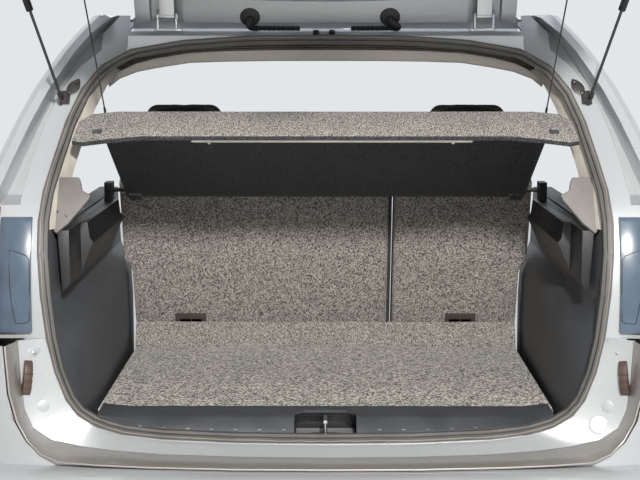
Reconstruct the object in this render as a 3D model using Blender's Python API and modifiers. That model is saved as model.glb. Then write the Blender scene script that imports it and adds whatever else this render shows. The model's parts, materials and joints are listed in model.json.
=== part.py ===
"""Rear body section of a compact crossover: load bay, raised tailgate, parcel shelf and split rear seat.

Everything is modelled in vehicle axes, in metres: X to the right, Y forward from the load sill, Z above the road.
One empty then moves the whole section so that its origin is on the face where it joins the car's centre section.
"""

import math

import bmesh
import bpy
from mathutils import Matrix, Vector

for old in list(bpy.data.objects):
    bpy.data.objects.remove(old, do_unlink=True)

# The joining face at the front of the seat pan, which is the origin
JOIN_Y = 1.300
JOIN_Z = 0.400
MM = 0.001
SEAT_GAP = 0.3 * MM
SIDES = {"left": -1, "right": 1}

# Aperture of the tailgate, as half width and height along the sealing flange, from the sill to the header
SILL_Z = 0.656
HEADER_Z = 1.476
HEADER_Y = 0.300
APERTURE = [
    # half width, height
    (0.000, SILL_Z),
    (0.180, 0.658),
    (0.332, 0.665),
    (0.415, 0.675),
    (0.464, 0.690),
    (0.502, 0.714),
    (0.524, 0.744),
    (0.545, 0.800),
    (0.560, 0.870),
    (0.570, 0.960),
    (0.576, 1.040),
    (0.577, 1.105),
    (0.572, 1.164),
    (0.559, 1.222),
    (0.541, 1.298),
    (0.516, 1.363),
    (0.479, 1.411),
    (0.419, 1.445),
    (0.307, 1.464),
    (0.175, 1.473),
    (0.000, HEADER_Z),
]
# How far forward the aperture leans, by height
LEAN = [
    # height, forward of the sill
    (0.400, 0.000),
    (0.950, 0.000),
    (1.029, 0.010),
    (1.105, 0.034),
    (1.164, 0.070),
    (1.222, 0.112),
    (1.298, 0.170),
    (1.363, 0.220),
    (1.411, 0.251),
    (1.445, 0.272),
    (1.476, HEADER_Y),
    (1.540, 0.345),
]
# Body skin, as half width by height at its rear corner and at the rear door
SKIN = [
    # height, at the rear corner, at the rear door
    (0.300, 0.775, 0.862),
    (0.450, 0.782, 0.872),
    (0.600, 0.788, 0.880),
    (0.750, 0.790, 0.885),
    (0.900, 0.780, 0.880),
    (1.000, 0.762, 0.868),
    (1.060, 0.742, 0.850),
    (1.140, 0.706, 0.808),
    (1.221, 0.677, 0.768),
    (1.280, 0.655, 0.738),
    (1.342, 0.632, 0.706),
    (1.383, 0.608, 0.678),
    (1.432, 0.578, 0.644),
    (1.473, 0.549, 0.610),
    (1.520, 0.506, 0.566),
]
FLANGE_IN = 10 * MM
FLANGE_OUT = 45 * MM
GUTTER_DEEP = 40 * MM
LIP_PROUD = 34 * MM
BODY_SHEET = 4 * MM

# Rear door opening, roof and rear corner
DOOR_EDGE = [
    # height, forward of the sill
    (0.450, 0.985),
    (0.900, 0.985),
    (1.060, 0.960),
    (1.300, 0.985),
    (1.520, 1.050),
]
ROOF_FRONT_Y = 1.050
ROOF_EDGE_Y = 0.378
ROOF_EDGE_Z = 1.536
ROOF_RISE = 0.024
ROOF_CROWN = 0.030
ROOF_SHEET = 6 * MM
CHANNEL_Z = 1.484
HEADER_HALF = 0.425

# Wheel arch
WHEEL_Y = 0.600
WHEEL_Z = 0.330
ARCH_RADIUS = 0.372
HOUSE_OUTER_X = 0.872
HOUSE_SHEET = 3 * MM

# Rear panel under the sill, and the ramp round it down to the bumper
PANEL_TOP_Z = 0.870
PANEL_REAR = 0.030
PANEL_SHEET = 6 * MM
PANEL_EDGE = [
    # half width, height
    (0.000, 0.630),
    (0.180, 0.632),
    (0.332, 0.637),
    (0.430, 0.645),
    (0.496, 0.654),
    (0.553, 0.668),
    (0.590, 0.692),
    (0.606, 0.730),
    (0.612, 0.795),
    (0.616, PANEL_TOP_Z),
]
STEP_FRONT = PANEL_REAR + SEAT_GAP
STEP_REAR = [-0.130, -0.130, -0.130, -0.128, -0.122, -0.110, -0.098, -0.090, -0.086, -0.084]
STEP_SHEET = 4 * MM
STEP_GAP = 2.5 * MM
BUMPER_EDGE = [
    # half width, height
    (0.000, 0.629),
    (0.180, 0.630),
    (0.350, 0.634),
    (0.450, 0.638),
    (0.525, 0.642),
    (0.564, 0.656),
    (0.592, 0.680),
    (0.614, 0.718),
    (0.629, 0.775),
    (0.636, PANEL_TOP_Z),
]
PANEL_TO_APERTURE = [
    # half width, height, the aperture's own lower half at the same stations
    (0.000, 0.656),
    (0.180, 0.658),
    (0.332, 0.665),
    (0.415, 0.675),
    (0.464, 0.690),
    (0.502, 0.714),
    (0.524, 0.744),
    (0.541, 0.785),
    (0.551, 0.825),
    (0.560, PANEL_TOP_Z),
]

# Lamps
LAMP_BOTTOM_Z = 0.878
LAMP_TOP_Z = 1.132
LAMP_IN_X = 0.660
LAMP_FORWARD_Y = 0.270
LAMP_DEEP = 0.052
BEZEL_IN_X = 0.592
BEZEL_BOTTOM_Z = 0.883
BEZEL_TOP_Z = 1.113
BEZEL_THICK = 10 * MM


def between(table, height, column=1):
    """The value in that column of a table, read straight between its rows."""
    for low, high in zip(table, table[1:]):
        if height <= high[0]:
            share = (height - low[0]) / (high[0] - low[0])
            return low[column] + (high[column] - low[column]) * max(share, 0.0)
    return table[-1][column]


def aperture_y(z):
    return between(LEAN, z)


def aperture_x(z):
    """Half width of the aperture at a height, on its upright sides."""
    return between([(row[1], row[0]) for row in APERTURE], z)


def skin_x(y, z):
    """Half width of the body skin: it tapers in towards the rear corner."""
    rear = aperture_y(z)
    share = min(max((y - rear) / (DOOR_EDGE[0][1] - rear), 0.0), 1.0)
    swell = 1 - (1 - share) ** 2
    at_rear, at_door = between(SKIN, z, 1), between(SKIN, z, 2)
    return at_rear + (at_door - at_rear) * swell


def roof_z(x, y):
    """Height of the roof skin: it rises forward and crowns across."""
    along = (y - ROOF_EDGE_Y) / (ROOF_FRONT_Y - ROOF_EDGE_Y)
    across = 1 - (x / between(SKIN, SKIN[-1][0], 1)) ** 2
    return ROOF_EDGE_Z - ROOF_CROWN + ROOF_RISE * along + ROOF_CROWN * across


# Finishes
def finish(name, colour, roughness, metallic=0.0):
    material = bpy.data.materials.new(name)
    material.use_nodes = True
    shader = material.node_tree.nodes["Principled BSDF"]
    shader.inputs["Base Color"].default_value = (*colour, 1.0)
    shader.inputs["Roughness"].default_value = roughness
    shader.inputs["Metallic"].default_value = metallic
    return material


SILVER = finish("silver_paint", (0.72, 0.73, 0.74), 0.32, 0.6)
SILVER_PANEL = finish("silver_panel", (0.72, 0.73, 0.74), 0.32, 0.6)
UNDERSEAL = finish("underseal", (0.05, 0.05, 0.05), 0.8)
GLASS = finish("glass", (0.10, 0.13, 0.12), 0.05)
RUBBER = finish("rubber", (0.03, 0.03, 0.03), 0.6)
LAMP = finish("lamp_lens", (0.25, 0.02, 0.02), 0.1)
BEZEL = finish("lamp_bezel", (0.10, 0.14, 0.20), 0.2)
BLACK_PLASTIC = finish("black_plastic", (0.03, 0.03, 0.035), 0.5)
BEIGE_PLASTIC = finish("beige_plastic", (0.55, 0.51, 0.44), 0.6)
GREY_PLASTIC = finish("grey_plastic", (0.20, 0.19, 0.18), 0.6)
CARPET = finish("carpet", (0.17, 0.155, 0.14), 0.95)
UPHOLSTERY = finish("upholstery", (0.03, 0.03, 0.035), 0.9)
STEEL = finish("steel", (0.55, 0.56, 0.57), 0.35, 1.0)
CORD = finish("cord", (0.02, 0.02, 0.02), 0.8)

PARTS = bpy.data.collections.new("crossover_rear_section")
CUTTERS = bpy.data.collections.new("cutters")
for collection in (PARTS, CUTTERS):
    bpy.context.scene.collection.children.link(collection)


# Frames that the pieces hang from
def frame(name, location, parent=None, turn_x=0.0):
    empty = bpy.data.objects.new(name, None)
    PARTS.objects.link(empty)
    empty.parent = parent
    empty.location = location
    empty.rotation_euler.x = turn_x
    return empty


SECTION = frame("section", (0, -JOIN_Y, -JOIN_Z))


# Tools that make one object each
def add(name, mesh_or_bmesh, material, parent=None, location=(0, 0, 0), collection=None):
    if isinstance(mesh_or_bmesh, bmesh.types.BMesh):
        mesh = bpy.data.meshes.new(name)
        bmesh.ops.recalc_face_normals(mesh_or_bmesh, faces=mesh_or_bmesh.faces)
        mesh_or_bmesh.to_mesh(mesh)
        mesh_or_bmesh.free()
    else:
        mesh = mesh_or_bmesh
    piece = bpy.data.objects.new(name, mesh)
    (collection or PARTS).objects.link(piece)
    piece.parent = parent or SECTION
    piece.location = location
    if material:
        mesh.materials.append(material)
    return piece


def solidify(piece, thickness, offset=0.0):
    shell = piece.modifiers.new("thickness", "SOLIDIFY")
    shell.thickness = thickness
    shell.offset = offset
    shell.use_even_offset = True
    return piece


def loft(sections, closed_section=False, closed_path=False, capped=False):
    """A surface through sections that have the same number of points."""
    bm = bmesh.new()
    rings = [[bm.verts.new(point) for point in section] for section in sections]
    count = len(rings[0])
    spans = count if closed_section else count - 1
    steps = len(rings) if closed_path else len(rings) - 1
    for i in range(steps):
        here, there = rings[i], rings[(i + 1) % len(rings)]
        for j in range(spans):
            k = (j + 1) % count
            bm.faces.new((here[j], here[k], there[k], there[j]))
    if capped:
        bm.faces.new(list(reversed(rings[0])))
        bm.faces.new(rings[-1])
    return bm


def box(low, high):
    """A box between two corners."""
    bm = bmesh.new()
    low, high = Vector(low), Vector(high)
    bmesh.ops.create_cube(bm, size=1.0)
    bmesh.ops.scale(bm, vec=high - low, verts=bm.verts)
    bmesh.ops.translate(bm, vec=(low + high) / 2, verts=bm.verts)
    return bm


def rod(start, end, radius, sides=16, end_radius=None):
    """A round bar between two points."""
    start, end = Vector(start), Vector(end)
    bm = bmesh.new()
    bmesh.ops.create_cone(bm, cap_ends=True, segments=sides, radius1=radius,
                          radius2=radius if end_radius is None else end_radius, depth=(end - start).length)
    turn = (end - start).to_track_quat("Z", "Y").to_matrix().to_4x4()
    bmesh.ops.transform(bm, matrix=Matrix.Translation((start + end) / 2) @ turn, verts=bm.verts)
    return bm


def ball(centre, radius):
    bm = bmesh.new()
    bmesh.ops.create_uvsphere(bm, u_segments=12, v_segments=8, radius=radius)
    bmesh.ops.translate(bm, vec=centre, verts=bm.verts)
    return bm


def cut(piece, cutter_bmesh, name="cut", operation="DIFFERENCE"):
    """Cuts or joins with a Boolean, in the vehicle axes or the piece's own."""
    cutter = add(f"{piece.name}_{name}", cutter_bmesh, None, piece.parent, piece.location, CUTTERS)
    cutter.hide_render = True
    cutter.display_type = "WIRE"
    boolean = piece.modifiers.new(name, "BOOLEAN")
    boolean.operation = operation
    boolean.object = cutter
    return piece


def join(piece, other_bmesh, name="join"):
    return cut(piece, other_bmesh, name, "UNION")


def bevel(piece, width, segments=2, angle=40):
    rounding = piece.modifiers.new("rounding", "BEVEL")
    rounding.width = width
    rounding.segments = segments
    rounding.limit_method = "ANGLE"
    rounding.angle_limit = math.radians(angle)
    return piece


def slab(outline, low, high, axis="z"):
    """A flat outline given in the other two axes, from low to high along this axis."""
    place = {"x": lambda a, b, c: (c, a, b), "y": lambda a, b, c: (a, c, b), "z": lambda a, b, c: (a, b, c)}[axis]
    return loft([[place(a, b, level) for a, b in outline] for level in (low, high)],
                closed_section=True, capped=True)


def smooth_line(points, per_span=4, closed=False):
    """Points along a smooth curve through the given ones."""
    points = [Vector(point) for point in points]
    count = len(points)
    line = []
    for i in range(count if closed else count - 1):
        before = points[(i - 1) % count] if closed or i else points[0]
        here, after = points[i], points[(i + 1) % count]
        beyond = points[(i + 2) % count] if closed or i + 2 < count else points[-1]
        for step in range(per_span):
            t = step / per_span
            line.append(0.5 * (2 * here + (after - before) * t
                               + (2 * before - 5 * here + 4 * after - beyond) * t * t
                               + (3 * here - before - 3 * after + beyond) * t ** 3))
    if not closed:
        line.append(points[-1])
    return line


def mirrored(rows):
    """A half outline from the middle outwards, carried on from one side to the other."""
    return [(-x, *rest) for x, *rest in reversed(rows[1:])] + [tuple(row) for row in rows]


def sorted_x(side, x0, x1, y0, y1, z0, z1):
    """Two corners of a box given for the right side, on either side."""
    low, high = sorted((side * x0, side * x1))
    return (low, y0, z0), (high, y1, z1)


def shrink(outline, margin):
    """A convex outline drawn in towards its middle."""
    middle = Vector((sum(p[0] for p in outline), sum(p[1] for p in outline))) / len(outline)
    return [tuple(Vector(p) + (middle - Vector(p)).normalized() * margin) for p in outline]


def wheel_outline(radius, low=0, high=48):
    """The wheel arch's circle, or the part of it over the wheel."""
    turns = [math.tau * step / 48 for step in range(low, high + (high < 48))]
    return [(WHEEL_Y - math.cos(turn) * radius, WHEEL_Z + math.sin(turn) * radius) for turn in turns]


# Body side: gutter, rear corner and quarter skin in one stamping a side
SIDE_HEIGHTS = [0.450, 0.560, 0.680, 0.780, 0.862, 0.866, 0.950, 1.030, 1.105, 1.134, 1.150, 1.222, 1.298, 1.363,
                1.411, 1.445, 1.480, 1.520]
SKIN_STEPS = [0.10, 0.22, 0.36, 0.52, 0.70, 0.86, 1.00]
CORNER_BACK = 0.020
SIDE_BELOW_X = 0.656
SIDE_STEP_Z = 0.864
GUTTER_FADE_Z = 1.14
LIP_IN = 0.034
DOOR_RETURN = 0.035
DOOR_RETURN_BACK = 0.030
QUARTER_WINDOW = [(0.520, 1.135), (0.890, 1.110), (0.905, 1.330), (0.700, 1.325), (0.590, 1.235)]


def body_side_section(z):
    """One level cut through the body side: flange, gutter, lip, rear corner, then forward along the skin."""
    rear = aperture_y(z)
    corner = skin_x(rear, z)
    lip = corner - LIP_IN
    if z < SIDE_STEP_Z:
        inner = SIDE_BELOW_X
    else:
        inner = aperture_x(z) - FLANGE_IN
        if z > 1.44:
            inner = HEADER_HALF + 2 * MM
    deep = GUTTER_DEEP if z > GUTTER_FADE_Z else 0.0
    flange = min(inner + FLANGE_IN + FLANGE_OUT, lip - 0.026)
    points = [
        (inner, rear),
        (flange, rear),
        (flange + 0.008, rear + deep),
        (lip - 0.010, rear + deep),
        (lip, rear - LIP_PROUD),
        (lip + 0.016, rear - LIP_PROUD),
        (corner, rear + CORNER_BACK),
    ]
    front = between(DOOR_EDGE, z)
    for share in SKIN_STEPS:
        y = rear + CORNER_BACK + (front - rear - CORNER_BACK) * share
        points.append((skin_x(y, z), y))
    points.append((skin_x(front, z) - DOOR_RETURN, front))
    points.append((skin_x(front, z) - 2 * DOOR_RETURN, front - DOOR_RETURN_BACK))
    return points


# Tail lamp wrapped round the rear corner, and the glossy cover beside the seal
LAMP_STATIONS = [LAMP_BOTTOM_Z, 0.950, 1.030, 1.105, LAMP_TOP_Z]


def lamp_body(side, grow=0.0):
    sections = []
    for z in LAMP_STATIONS:
        if z == LAMP_STATIONS[0]:
            z -= grow
        if z == LAMP_STATIONS[-1]:
            z += grow
        rear = aperture_y(z)
        corner = skin_x(rear, z)
        proud = 5 * MM + grow
        forward = LAMP_FORWARD_Y + grow
        outline = [
            (LAMP_IN_X - grow, rear - LIP_PROUD - 2 * MM - grow),
            (corner - 0.019, rear - LIP_PROUD - 10 * MM - grow),
            (corner + 0.007 + grow, rear + 0.010),
            (skin_x(rear + 0.06, z) + proud, rear + 0.060),
            (skin_x(0.16, z) + proud, 0.160),
            (skin_x(forward, z) + proud, forward),
            (skin_x(forward, z) - 0.018 - grow, forward),
            (corner - LAMP_DEEP - grow, rear + 0.075 + grow),
            (LAMP_IN_X - grow, rear + 0.030 + grow),
        ]
        sections.append([(side * x, y, z) for x, y in outline])
    return loft(sections, closed_section=True, capped=True)


def build_body_side(word, side):
    sections = [[(side * x, y, z) for x, y in body_side_section(z)] for z in SIDE_HEIGHTS]
    piece = add(f"body_side_{word}", loft(sections), SILVER)
    solidify(piece, BODY_SHEET)
    cut(piece, slab(wheel_outline(ARCH_RADIUS), *sorted((side * 0.60, side * 1.00)), "x"), "arch")
    cut(piece, box(*sorted_x(side, 0.60, 1.00, -0.20, BUMPER_FRONT_Y, 0.20, BUMPER_SIDE_Z)), "bumper_edge")
    cut(piece, box(*sorted_x(side, 0.50, 1.00, -0.30, 0.056, 0.20, PANEL_TOP_Z + SEAT_GAP)), "bumper_corner")
    low, high = sorted((side * 0.50, side * 1.00))
    cut(piece, slab(QUARTER_WINDOW, low, high, "x"), "window")
    cut(piece, lamp_body(side, 0.5 * MM), "lamp_hole")
    return piece


def build_lamps(word, side):
    add(f"tail_lamp_{word}", lamp_body(side), LAMP)
    outer = LAMP_IN_X - 4 * MM
    levels = (BEZEL_BOTTOM_Z, 0.950, 1.030, 1.105, BEZEL_TOP_Z)
    back = BODY_SHEET / 2 + 0.6 * MM
    sections = []
    for z in levels:
        rear = aperture_y(z) - back
        sections.append([(side * x, y, z) for x, y in ((BEZEL_IN_X, rear), (BEZEL_IN_X, rear - BEZEL_THICK),
                                                       (outer, rear - BEZEL_THICK), (outer, rear))])
    add(f"lamp_bezel_{word}", loft(sections, closed_section=True, capped=True), BEZEL)


# Quarter glass
GLASS_THICK = 4 * MM


def build_quarter_glass(word, side):
    heights = [1.08, 1.14, 1.20, 1.26, 1.34]
    steps = [0.50, 0.62, 0.74, 0.92]
    sections = []
    for z in heights:
        outer = [(side * (skin_x(y, z) - 0.5 * MM), y, z) for y in steps]
        inner = [(side * (skin_x(y, z) - 0.5 * MM - GLASS_THICK), y, z) for y in reversed(steps)]
        sections.append(outer + inner)
    pane = add(f"quarter_glass_{word}", loft(sections, closed_section=True, capped=True), GLASS)
    low, high = sorted((side * 0.50, side * 1.00))
    cut(pane, slab(shrink(QUARTER_WINDOW, 0.9 * MM), low, high, "x"), "edge", "INTERSECT")
    return pane


# Roof and header
ROOF_ROWS = [0.25, 0.6, 1.0]
ROOF_SIDE_Z = 1.520
ROOF_SIDE_GAP = 1 * MM
ROOF_SKIN_Y = [0.384, 0.460, 0.560, 0.700, 0.850, 1.012]
ROOF_SKIN_SHARES = (-1, -0.94, -0.8, -0.6, -0.3, 0, 0.3, 0.6, 0.8, 0.94, 1)


def roof_skin():
    """The roof from just inside its rear edge, out to the body sides."""
    sections = []
    for y in ROOF_SKIN_Y:
        reach = skin_x(y, ROOF_SIDE_Z) - BODY_SHEET / 2 - ROOF_SIDE_GAP
        columns = [share * reach for share in ROOF_SKIN_SHARES]
        top = [(x, y, roof_z(x, y)) for x in columns]
        sections.append(top + [(x, y, z - ROOF_SHEET) for x, y, z in reversed(top)])
    return loft(sections, closed_section=True, capped=True)


def build_roof():
    half = mirrored([(0.0,), (0.14,), (0.26,), (0.35,), (HEADER_HALF + 1 * MM,)])
    top = [(row[0], row[1]) for row in APERTURE[-4:]][::-1]
    sections = []
    for (x,) in half:
        flange_z = between(top, abs(x))
        flange_y = aperture_y(flange_z)
        edge = ROOF_EDGE_Y
        profile = [
            (flange_y + 1 * MM, flange_z - FLANGE_IN),
            (flange_y + 1 * MM, CHANNEL_Z - 8 * MM),
            (flange_y + 9 * MM, CHANNEL_Z),
            (edge - 12 * MM, CHANNEL_Z),
            (edge - 4 * MM, CHANNEL_Z + 8 * MM),
            (edge, roof_z(x, edge)),
        ]
        for share in ROOF_ROWS:
            y = edge + (ROOF_FRONT_Y - edge) * share
            profile.append((y, roof_z(x, y)))
        sections.append([(x, y, z) for y, z in profile])
    roof = add("roof_header", loft(sections), SILVER)
    solidify(roof, ROOF_SHEET)
    join(roof, roof_skin(), "skin")
    return roof


# Rear panel under the sill
def build_rear_panel():
    sections = []
    rows = list(zip(PANEL_TO_APERTURE, PANEL_EDGE))
    for mirror, index in [(-1, i) for i in range(len(rows) - 1, 0, -1)] + [(1, i) for i in range(len(rows))]:
        (ax, az), (ex, ez) = rows[index]
        out = Vector((ex - ax, ez - az)).normalized()
        profile = [
            (ax - out.x * FLANGE_IN, 0.0, az - out.y * FLANGE_IN),
            (ax + out.x * 8 * MM, 0.0, az + out.y * 8 * MM),
            (ex, -PANEL_REAR, ez),
            (ex + out.x * PANEL_SHEET, -PANEL_REAR + PANEL_SHEET, ez + out.y * PANEL_SHEET),
            (ax + out.x * 14 * MM, PANEL_SHEET, az + out.y * 14 * MM),
            (ax - out.x * FLANGE_IN, PANEL_SHEET, az - out.y * FLANGE_IN),
        ]
        sections.append([(mirror * x, y, z) for x, y, z in profile])
    return add("rear_panel", loft(sections, closed_section=True, capped=True), SILVER)


# Bumper cover: the step behind the panel, and the painted face
BUMPER_FRONT_Y = 0.225
BUMPER_SIDE_Z = 0.806
BUMPER_SHEET = 4 * MM
BUMPER_LEVELS = [
    # height, rear face, how far the corner is cut back
    (0.300, -0.140, 0.120),
    (0.360, -0.180, 0.110),
    (0.440, -0.200, 0.100),
    (0.520, -0.205, 0.095),
    (0.580, -0.192, 0.090),
    (0.612, -0.170, 0.080),
    (0.628, -0.140, 0.070),
    (0.634, -0.106, 0.060),
    (0.700, -0.100, 0.055),
    (0.800, -0.094, 0.050),
    (PANEL_TOP_Z, -0.090, 0.045),
]


def build_bumper():
    sections = []
    for z, rear, back in BUMPER_LEVELS:
        half = [
            (0.000, rear),
            (0.300, rear),
            (0.560, rear + back * 0.08),
            (0.640, rear + back * 0.25),
            (0.710, rear + back * 0.62),
            (0.764, rear + back * 1.15),
            (skin_x(0.06, z), 0.060),
            (skin_x(0.14, z), 0.140),
            (skin_x(BUMPER_FRONT_Y + 0.020, z), BUMPER_FRONT_Y + 0.020),
        ]
        sections.append([(x, y, z) for x, y in mirrored(half)])
    cover = add("bumper_cover", loft(sections), SILVER_PANEL)
    solidify(cover, BUMPER_SHEET)
    opening = mirrored(BUMPER_EDGE) + [(BUMPER_EDGE[-1][0], 1.0), (-BUMPER_EDGE[-1][0], 1.0)]
    cut(cover, slab(opening, -0.30, 0.05, "y"), "step_opening")
    for word, side in SIDES.items():
        cut(cover, slab(wheel_outline(ARCH_RADIUS), *sorted((side * 0.60, side * 1.00)), "x"), f"arch_{word}")
        cut(cover, box(*sorted_x(side, 0.50, 1.00, 0.0557, 0.40, BUMPER_SIDE_Z - SEAT_GAP, 1.0)), f"top_{word}")
        cut(cover, box(*sorted_x(side, 0.50, 1.00, BUMPER_FRONT_Y - SEAT_GAP, 0.50, 0.20, 1.0)), f"front_{word}")
        cut(cover, lamp_body(side, 5 * MM), f"lamp_{word}")
    return cover


def edge_normals(outline):
    """The outward normal at each point of a half outline that starts on the centre line."""
    points = [(-outline[1][0], outline[1][1])] + list(outline)
    normals = []
    for index in range(1, len(points)):
        before, after = points[index - 1], points[min(index + 1, len(points) - 1)]
        along = Vector((after[0] - before[0], after[1] - before[1])).normalized()
        normals.append(Vector((along.y, -along.x)))
    return normals


def build_bumper_step():
    sections = []
    rows = list(zip(PANEL_EDGE, BUMPER_EDGE, edge_normals(PANEL_EDGE), edge_normals(BUMPER_EDGE)))
    for mirror, index in [(-1, i) for i in range(len(rows) - 1, 0, -1)] + [(1, i) for i in range(len(rows))]:
        (px, pz), (bx, bz), front, back = rows[index]
        rear = STEP_REAR[index]
        profile = [
            (px, -STEP_FRONT, pz),
            (bx - back.x * (STEP_SHEET + STEP_GAP), rear, bz - back.y * (STEP_SHEET + STEP_GAP)),
            (bx - back.x * STEP_GAP, rear, bz - back.y * STEP_GAP),
            (px + front.x * STEP_SHEET, -STEP_FRONT, pz + front.y * STEP_SHEET),
        ]
        sections.append([(mirror * x, y, z) for x, y, z in profile])
    return add("bumper_step", loft(sections, closed_section=True, capped=True), SILVER_PANEL)


# Rear seat sizes
SEAT_Y = 0.915
SEAT_Z = 0.660
SEAT_LEAN = math.radians(20)
SEAT_THICK = 0.110
SEAT_LOW = -0.042
SEAT_HIGH = 0.560
SEAT_SHOULDER_Z = 0.290
SEAT_NARROW = 0.494
SEAT_WIDE = 0.5124
SEAT_SPLIT_X = 0.165
SPLIT_GAP = 0.006
CUSHION_TOP = 0.590
SEATS = {
    # word, inner edge, outer direction
    "left": (SEAT_SPLIT_X - SPLIT_GAP, -1),
    "right": (SEAT_SPLIT_X + SPLIT_GAP, 1),
}
SEAT_PIN = 6 * MM

# Floor pan with its spare wheel well, and the crossmembers
PAN_Z = 0.440
PAN_SHEET = 5 * MM
PAN_HALF = 0.600
PAN_REAR_Y = 0.006
WELL_Y = 0.420
WELL_RADIUS = 0.310
WELL_DEPTH = 0.150
JOIN_BAR_HIGH = 0.080
JOIN_BAR_DEEP = 0.060
BAR_WALL = 6 * MM


def build_floor():
    pan = add("floor_pan", box((-PAN_HALF, PAN_REAR_Y, PAN_Z - PAN_SHEET), (PAN_HALF, JOIN_Y, PAN_Z)), UNDERSEAL)
    cup = rod((0, WELL_Y, PAN_Z - WELL_DEPTH), (0, WELL_Y, PAN_Z - PAN_SHEET / 2), WELL_RADIUS, 40)
    join(pan, cup, "well")
    hollow = rod((0, WELL_Y, PAN_Z - WELL_DEPTH + PAN_SHEET), (0, WELL_Y, PAN_Z + 0.05), WELL_RADIUS - PAN_SHEET, 40)
    cut(pan, hollow, "well_hollow")
    join(pan, box((-PAN_HALF, JOIN_Y - JOIN_BAR_DEEP, JOIN_Z - JOIN_BAR_HIGH / 2),
                  (PAN_HALF, JOIN_Y, PAN_Z - PAN_SHEET / 2)), "join_bar")
    for word, side in SIDES.items():
        join(pan, box(*sorted_x(side, 0.480, 0.550, 0.030, JOIN_Y - 0.010, PAN_Z - 0.070, PAN_Z - 0.002)),
             f"rail_{word}")
        cut(pan, box(*sorted_x(side, 0.484, 0.546, 0.034, JOIN_Y - JOIN_BAR_DEEP - 0.004, PAN_Z - 0.080, PAN_Z - PAN_SHEET - 1 * MM)),
            f"rail_hollow_{word}")
    cut(pan, box((-PAN_HALF + BAR_WALL, JOIN_Y - JOIN_BAR_DEEP + BAR_WALL, JOIN_Z - JOIN_BAR_HIGH),
                 (PAN_HALF - BAR_WALL, JOIN_Y - BAR_WALL, PAN_Z - 2 * BAR_WALL)), "bar_hollow")
    ears = {
        # ear, where it stands, how far its pin reaches to the left and to the right
        "middle": (SEAT_SPLIT_X, 0.030, 0.030),
        "left": (-SEAT_NARROW - 4.5 * MM, 1 * MM, 0.030),
        "right": (SEAT_NARROW + 4.5 * MM, 0.030, 1 * MM),
    }
    for name, (x, to_left, to_right) in ears.items():
        join(pan, box((x - 2 * MM, SEAT_Y - 0.030, PAN_Z - 2 * MM), (x + 2 * MM, SEAT_Y + 0.030, SEAT_Z + 0.015)), f"seat_ear_{name}")
        join(pan, rod((x - to_left, SEAT_Y, SEAT_Z), (x + to_right, SEAT_Y, SEAT_Z), SEAT_PIN, 16), f"seat_pin_{name}")
    add("rear_crossmember", box((-PAN_HALF, PAN_REAR_Y - 6 * MM - SEAT_GAP, PAN_Z - PAN_SHEET), (PAN_HALF, PAN_REAR_Y - SEAT_GAP, 0.638)), SILVER)
    return pan


# Wheel houses
def build_wheelhouse(word, side):
    outer = wheel_outline(ARCH_RADIUS - SEAT_GAP, 0, 24)
    inner = wheel_outline(ARCH_RADIUS - SEAT_GAP - HOUSE_SHEET, 0, 24)
    wall = PAN_HALF + SEAT_GAP
    piece = add(f"wheelhouse_{word}", slab(outer + list(reversed(inner)), *sorted((side * (wall + 2 * MM), side * HOUSE_OUTER_X)), "x"),
                BLACK_PLASTIC)
    join(piece, slab(outer, *sorted((side * wall, side * (wall + 4 * MM))), "x"), "inner_wall")
    return piece


# Weatherstrip on the flange all round the aperture
STRIP_SECTION = [
    # out from the aperture line, behind the flange
    (-0.0104, 0.0004),
    (0.0030, 0.0004),
    (0.0045, 0.0022),
    (0.0030, 0.0054),
    (-0.0080, 0.0054),
    (-0.0141, 0.0010),
    (-0.0141, -0.0100),
    (-0.0104, -0.0100),
]
STRIP_LIFT = [
    # height, how far the strip stands off the flange line
    (0.650, 0.0),
    (0.850, 0.0),
    (0.875, 0.0040),
    (0.940, 0.0046),
    (1.000, 0.0048),
    (1.300, 0.0048),
    (1.480, 0.0050),
]


def loop_points(per_span=2):
    """The aperture's line all round, once."""
    half = [Vector((x, z)) for x, z in APERTURE]
    right = smooth_line([(p.x, 0, p.y) for p in half], per_span)
    right = [Vector((p.x, p.z)) for p in right]
    left = [Vector((-p.x, p.y)) for p in reversed(right[1:-1])]
    return right + left


def build_weatherstrip():
    line = loop_points(1)
    sections = []
    for index, point in enumerate(line):
        before, after = line[index - 1], line[(index + 1) % len(line)]
        along = (after - before).normalized()
        out = Vector((along.y, -along.x))
        follow = 1.0 if point.y < 1.44 else 0.0
        lift = between(STRIP_LIFT, point.y)
        section = []
        for off, behind in STRIP_SECTION:
            off -= lift * 0.5 if off < -0.010 else 0
            behind += lift if behind > 0 else 0
            section.append((point.x + out.x * off, aperture_y(point.y + out.y * off * follow) - behind,
                            point.y + out.y * off))
        sections.append(section)
    return add("weatherstrip", loft(sections, closed_section=True, closed_path=True), RUBBER)


# Sill trim with its recess over the striker
SILL_HALF = 0.470
SILL_REAR_Y = 0.0108
SILL_FRONT_Y = 0.128
RECESS_HALF = 0.064
RECESS_SLOPE = 0.020
RECESS_FRONT_Y = 0.080


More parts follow.
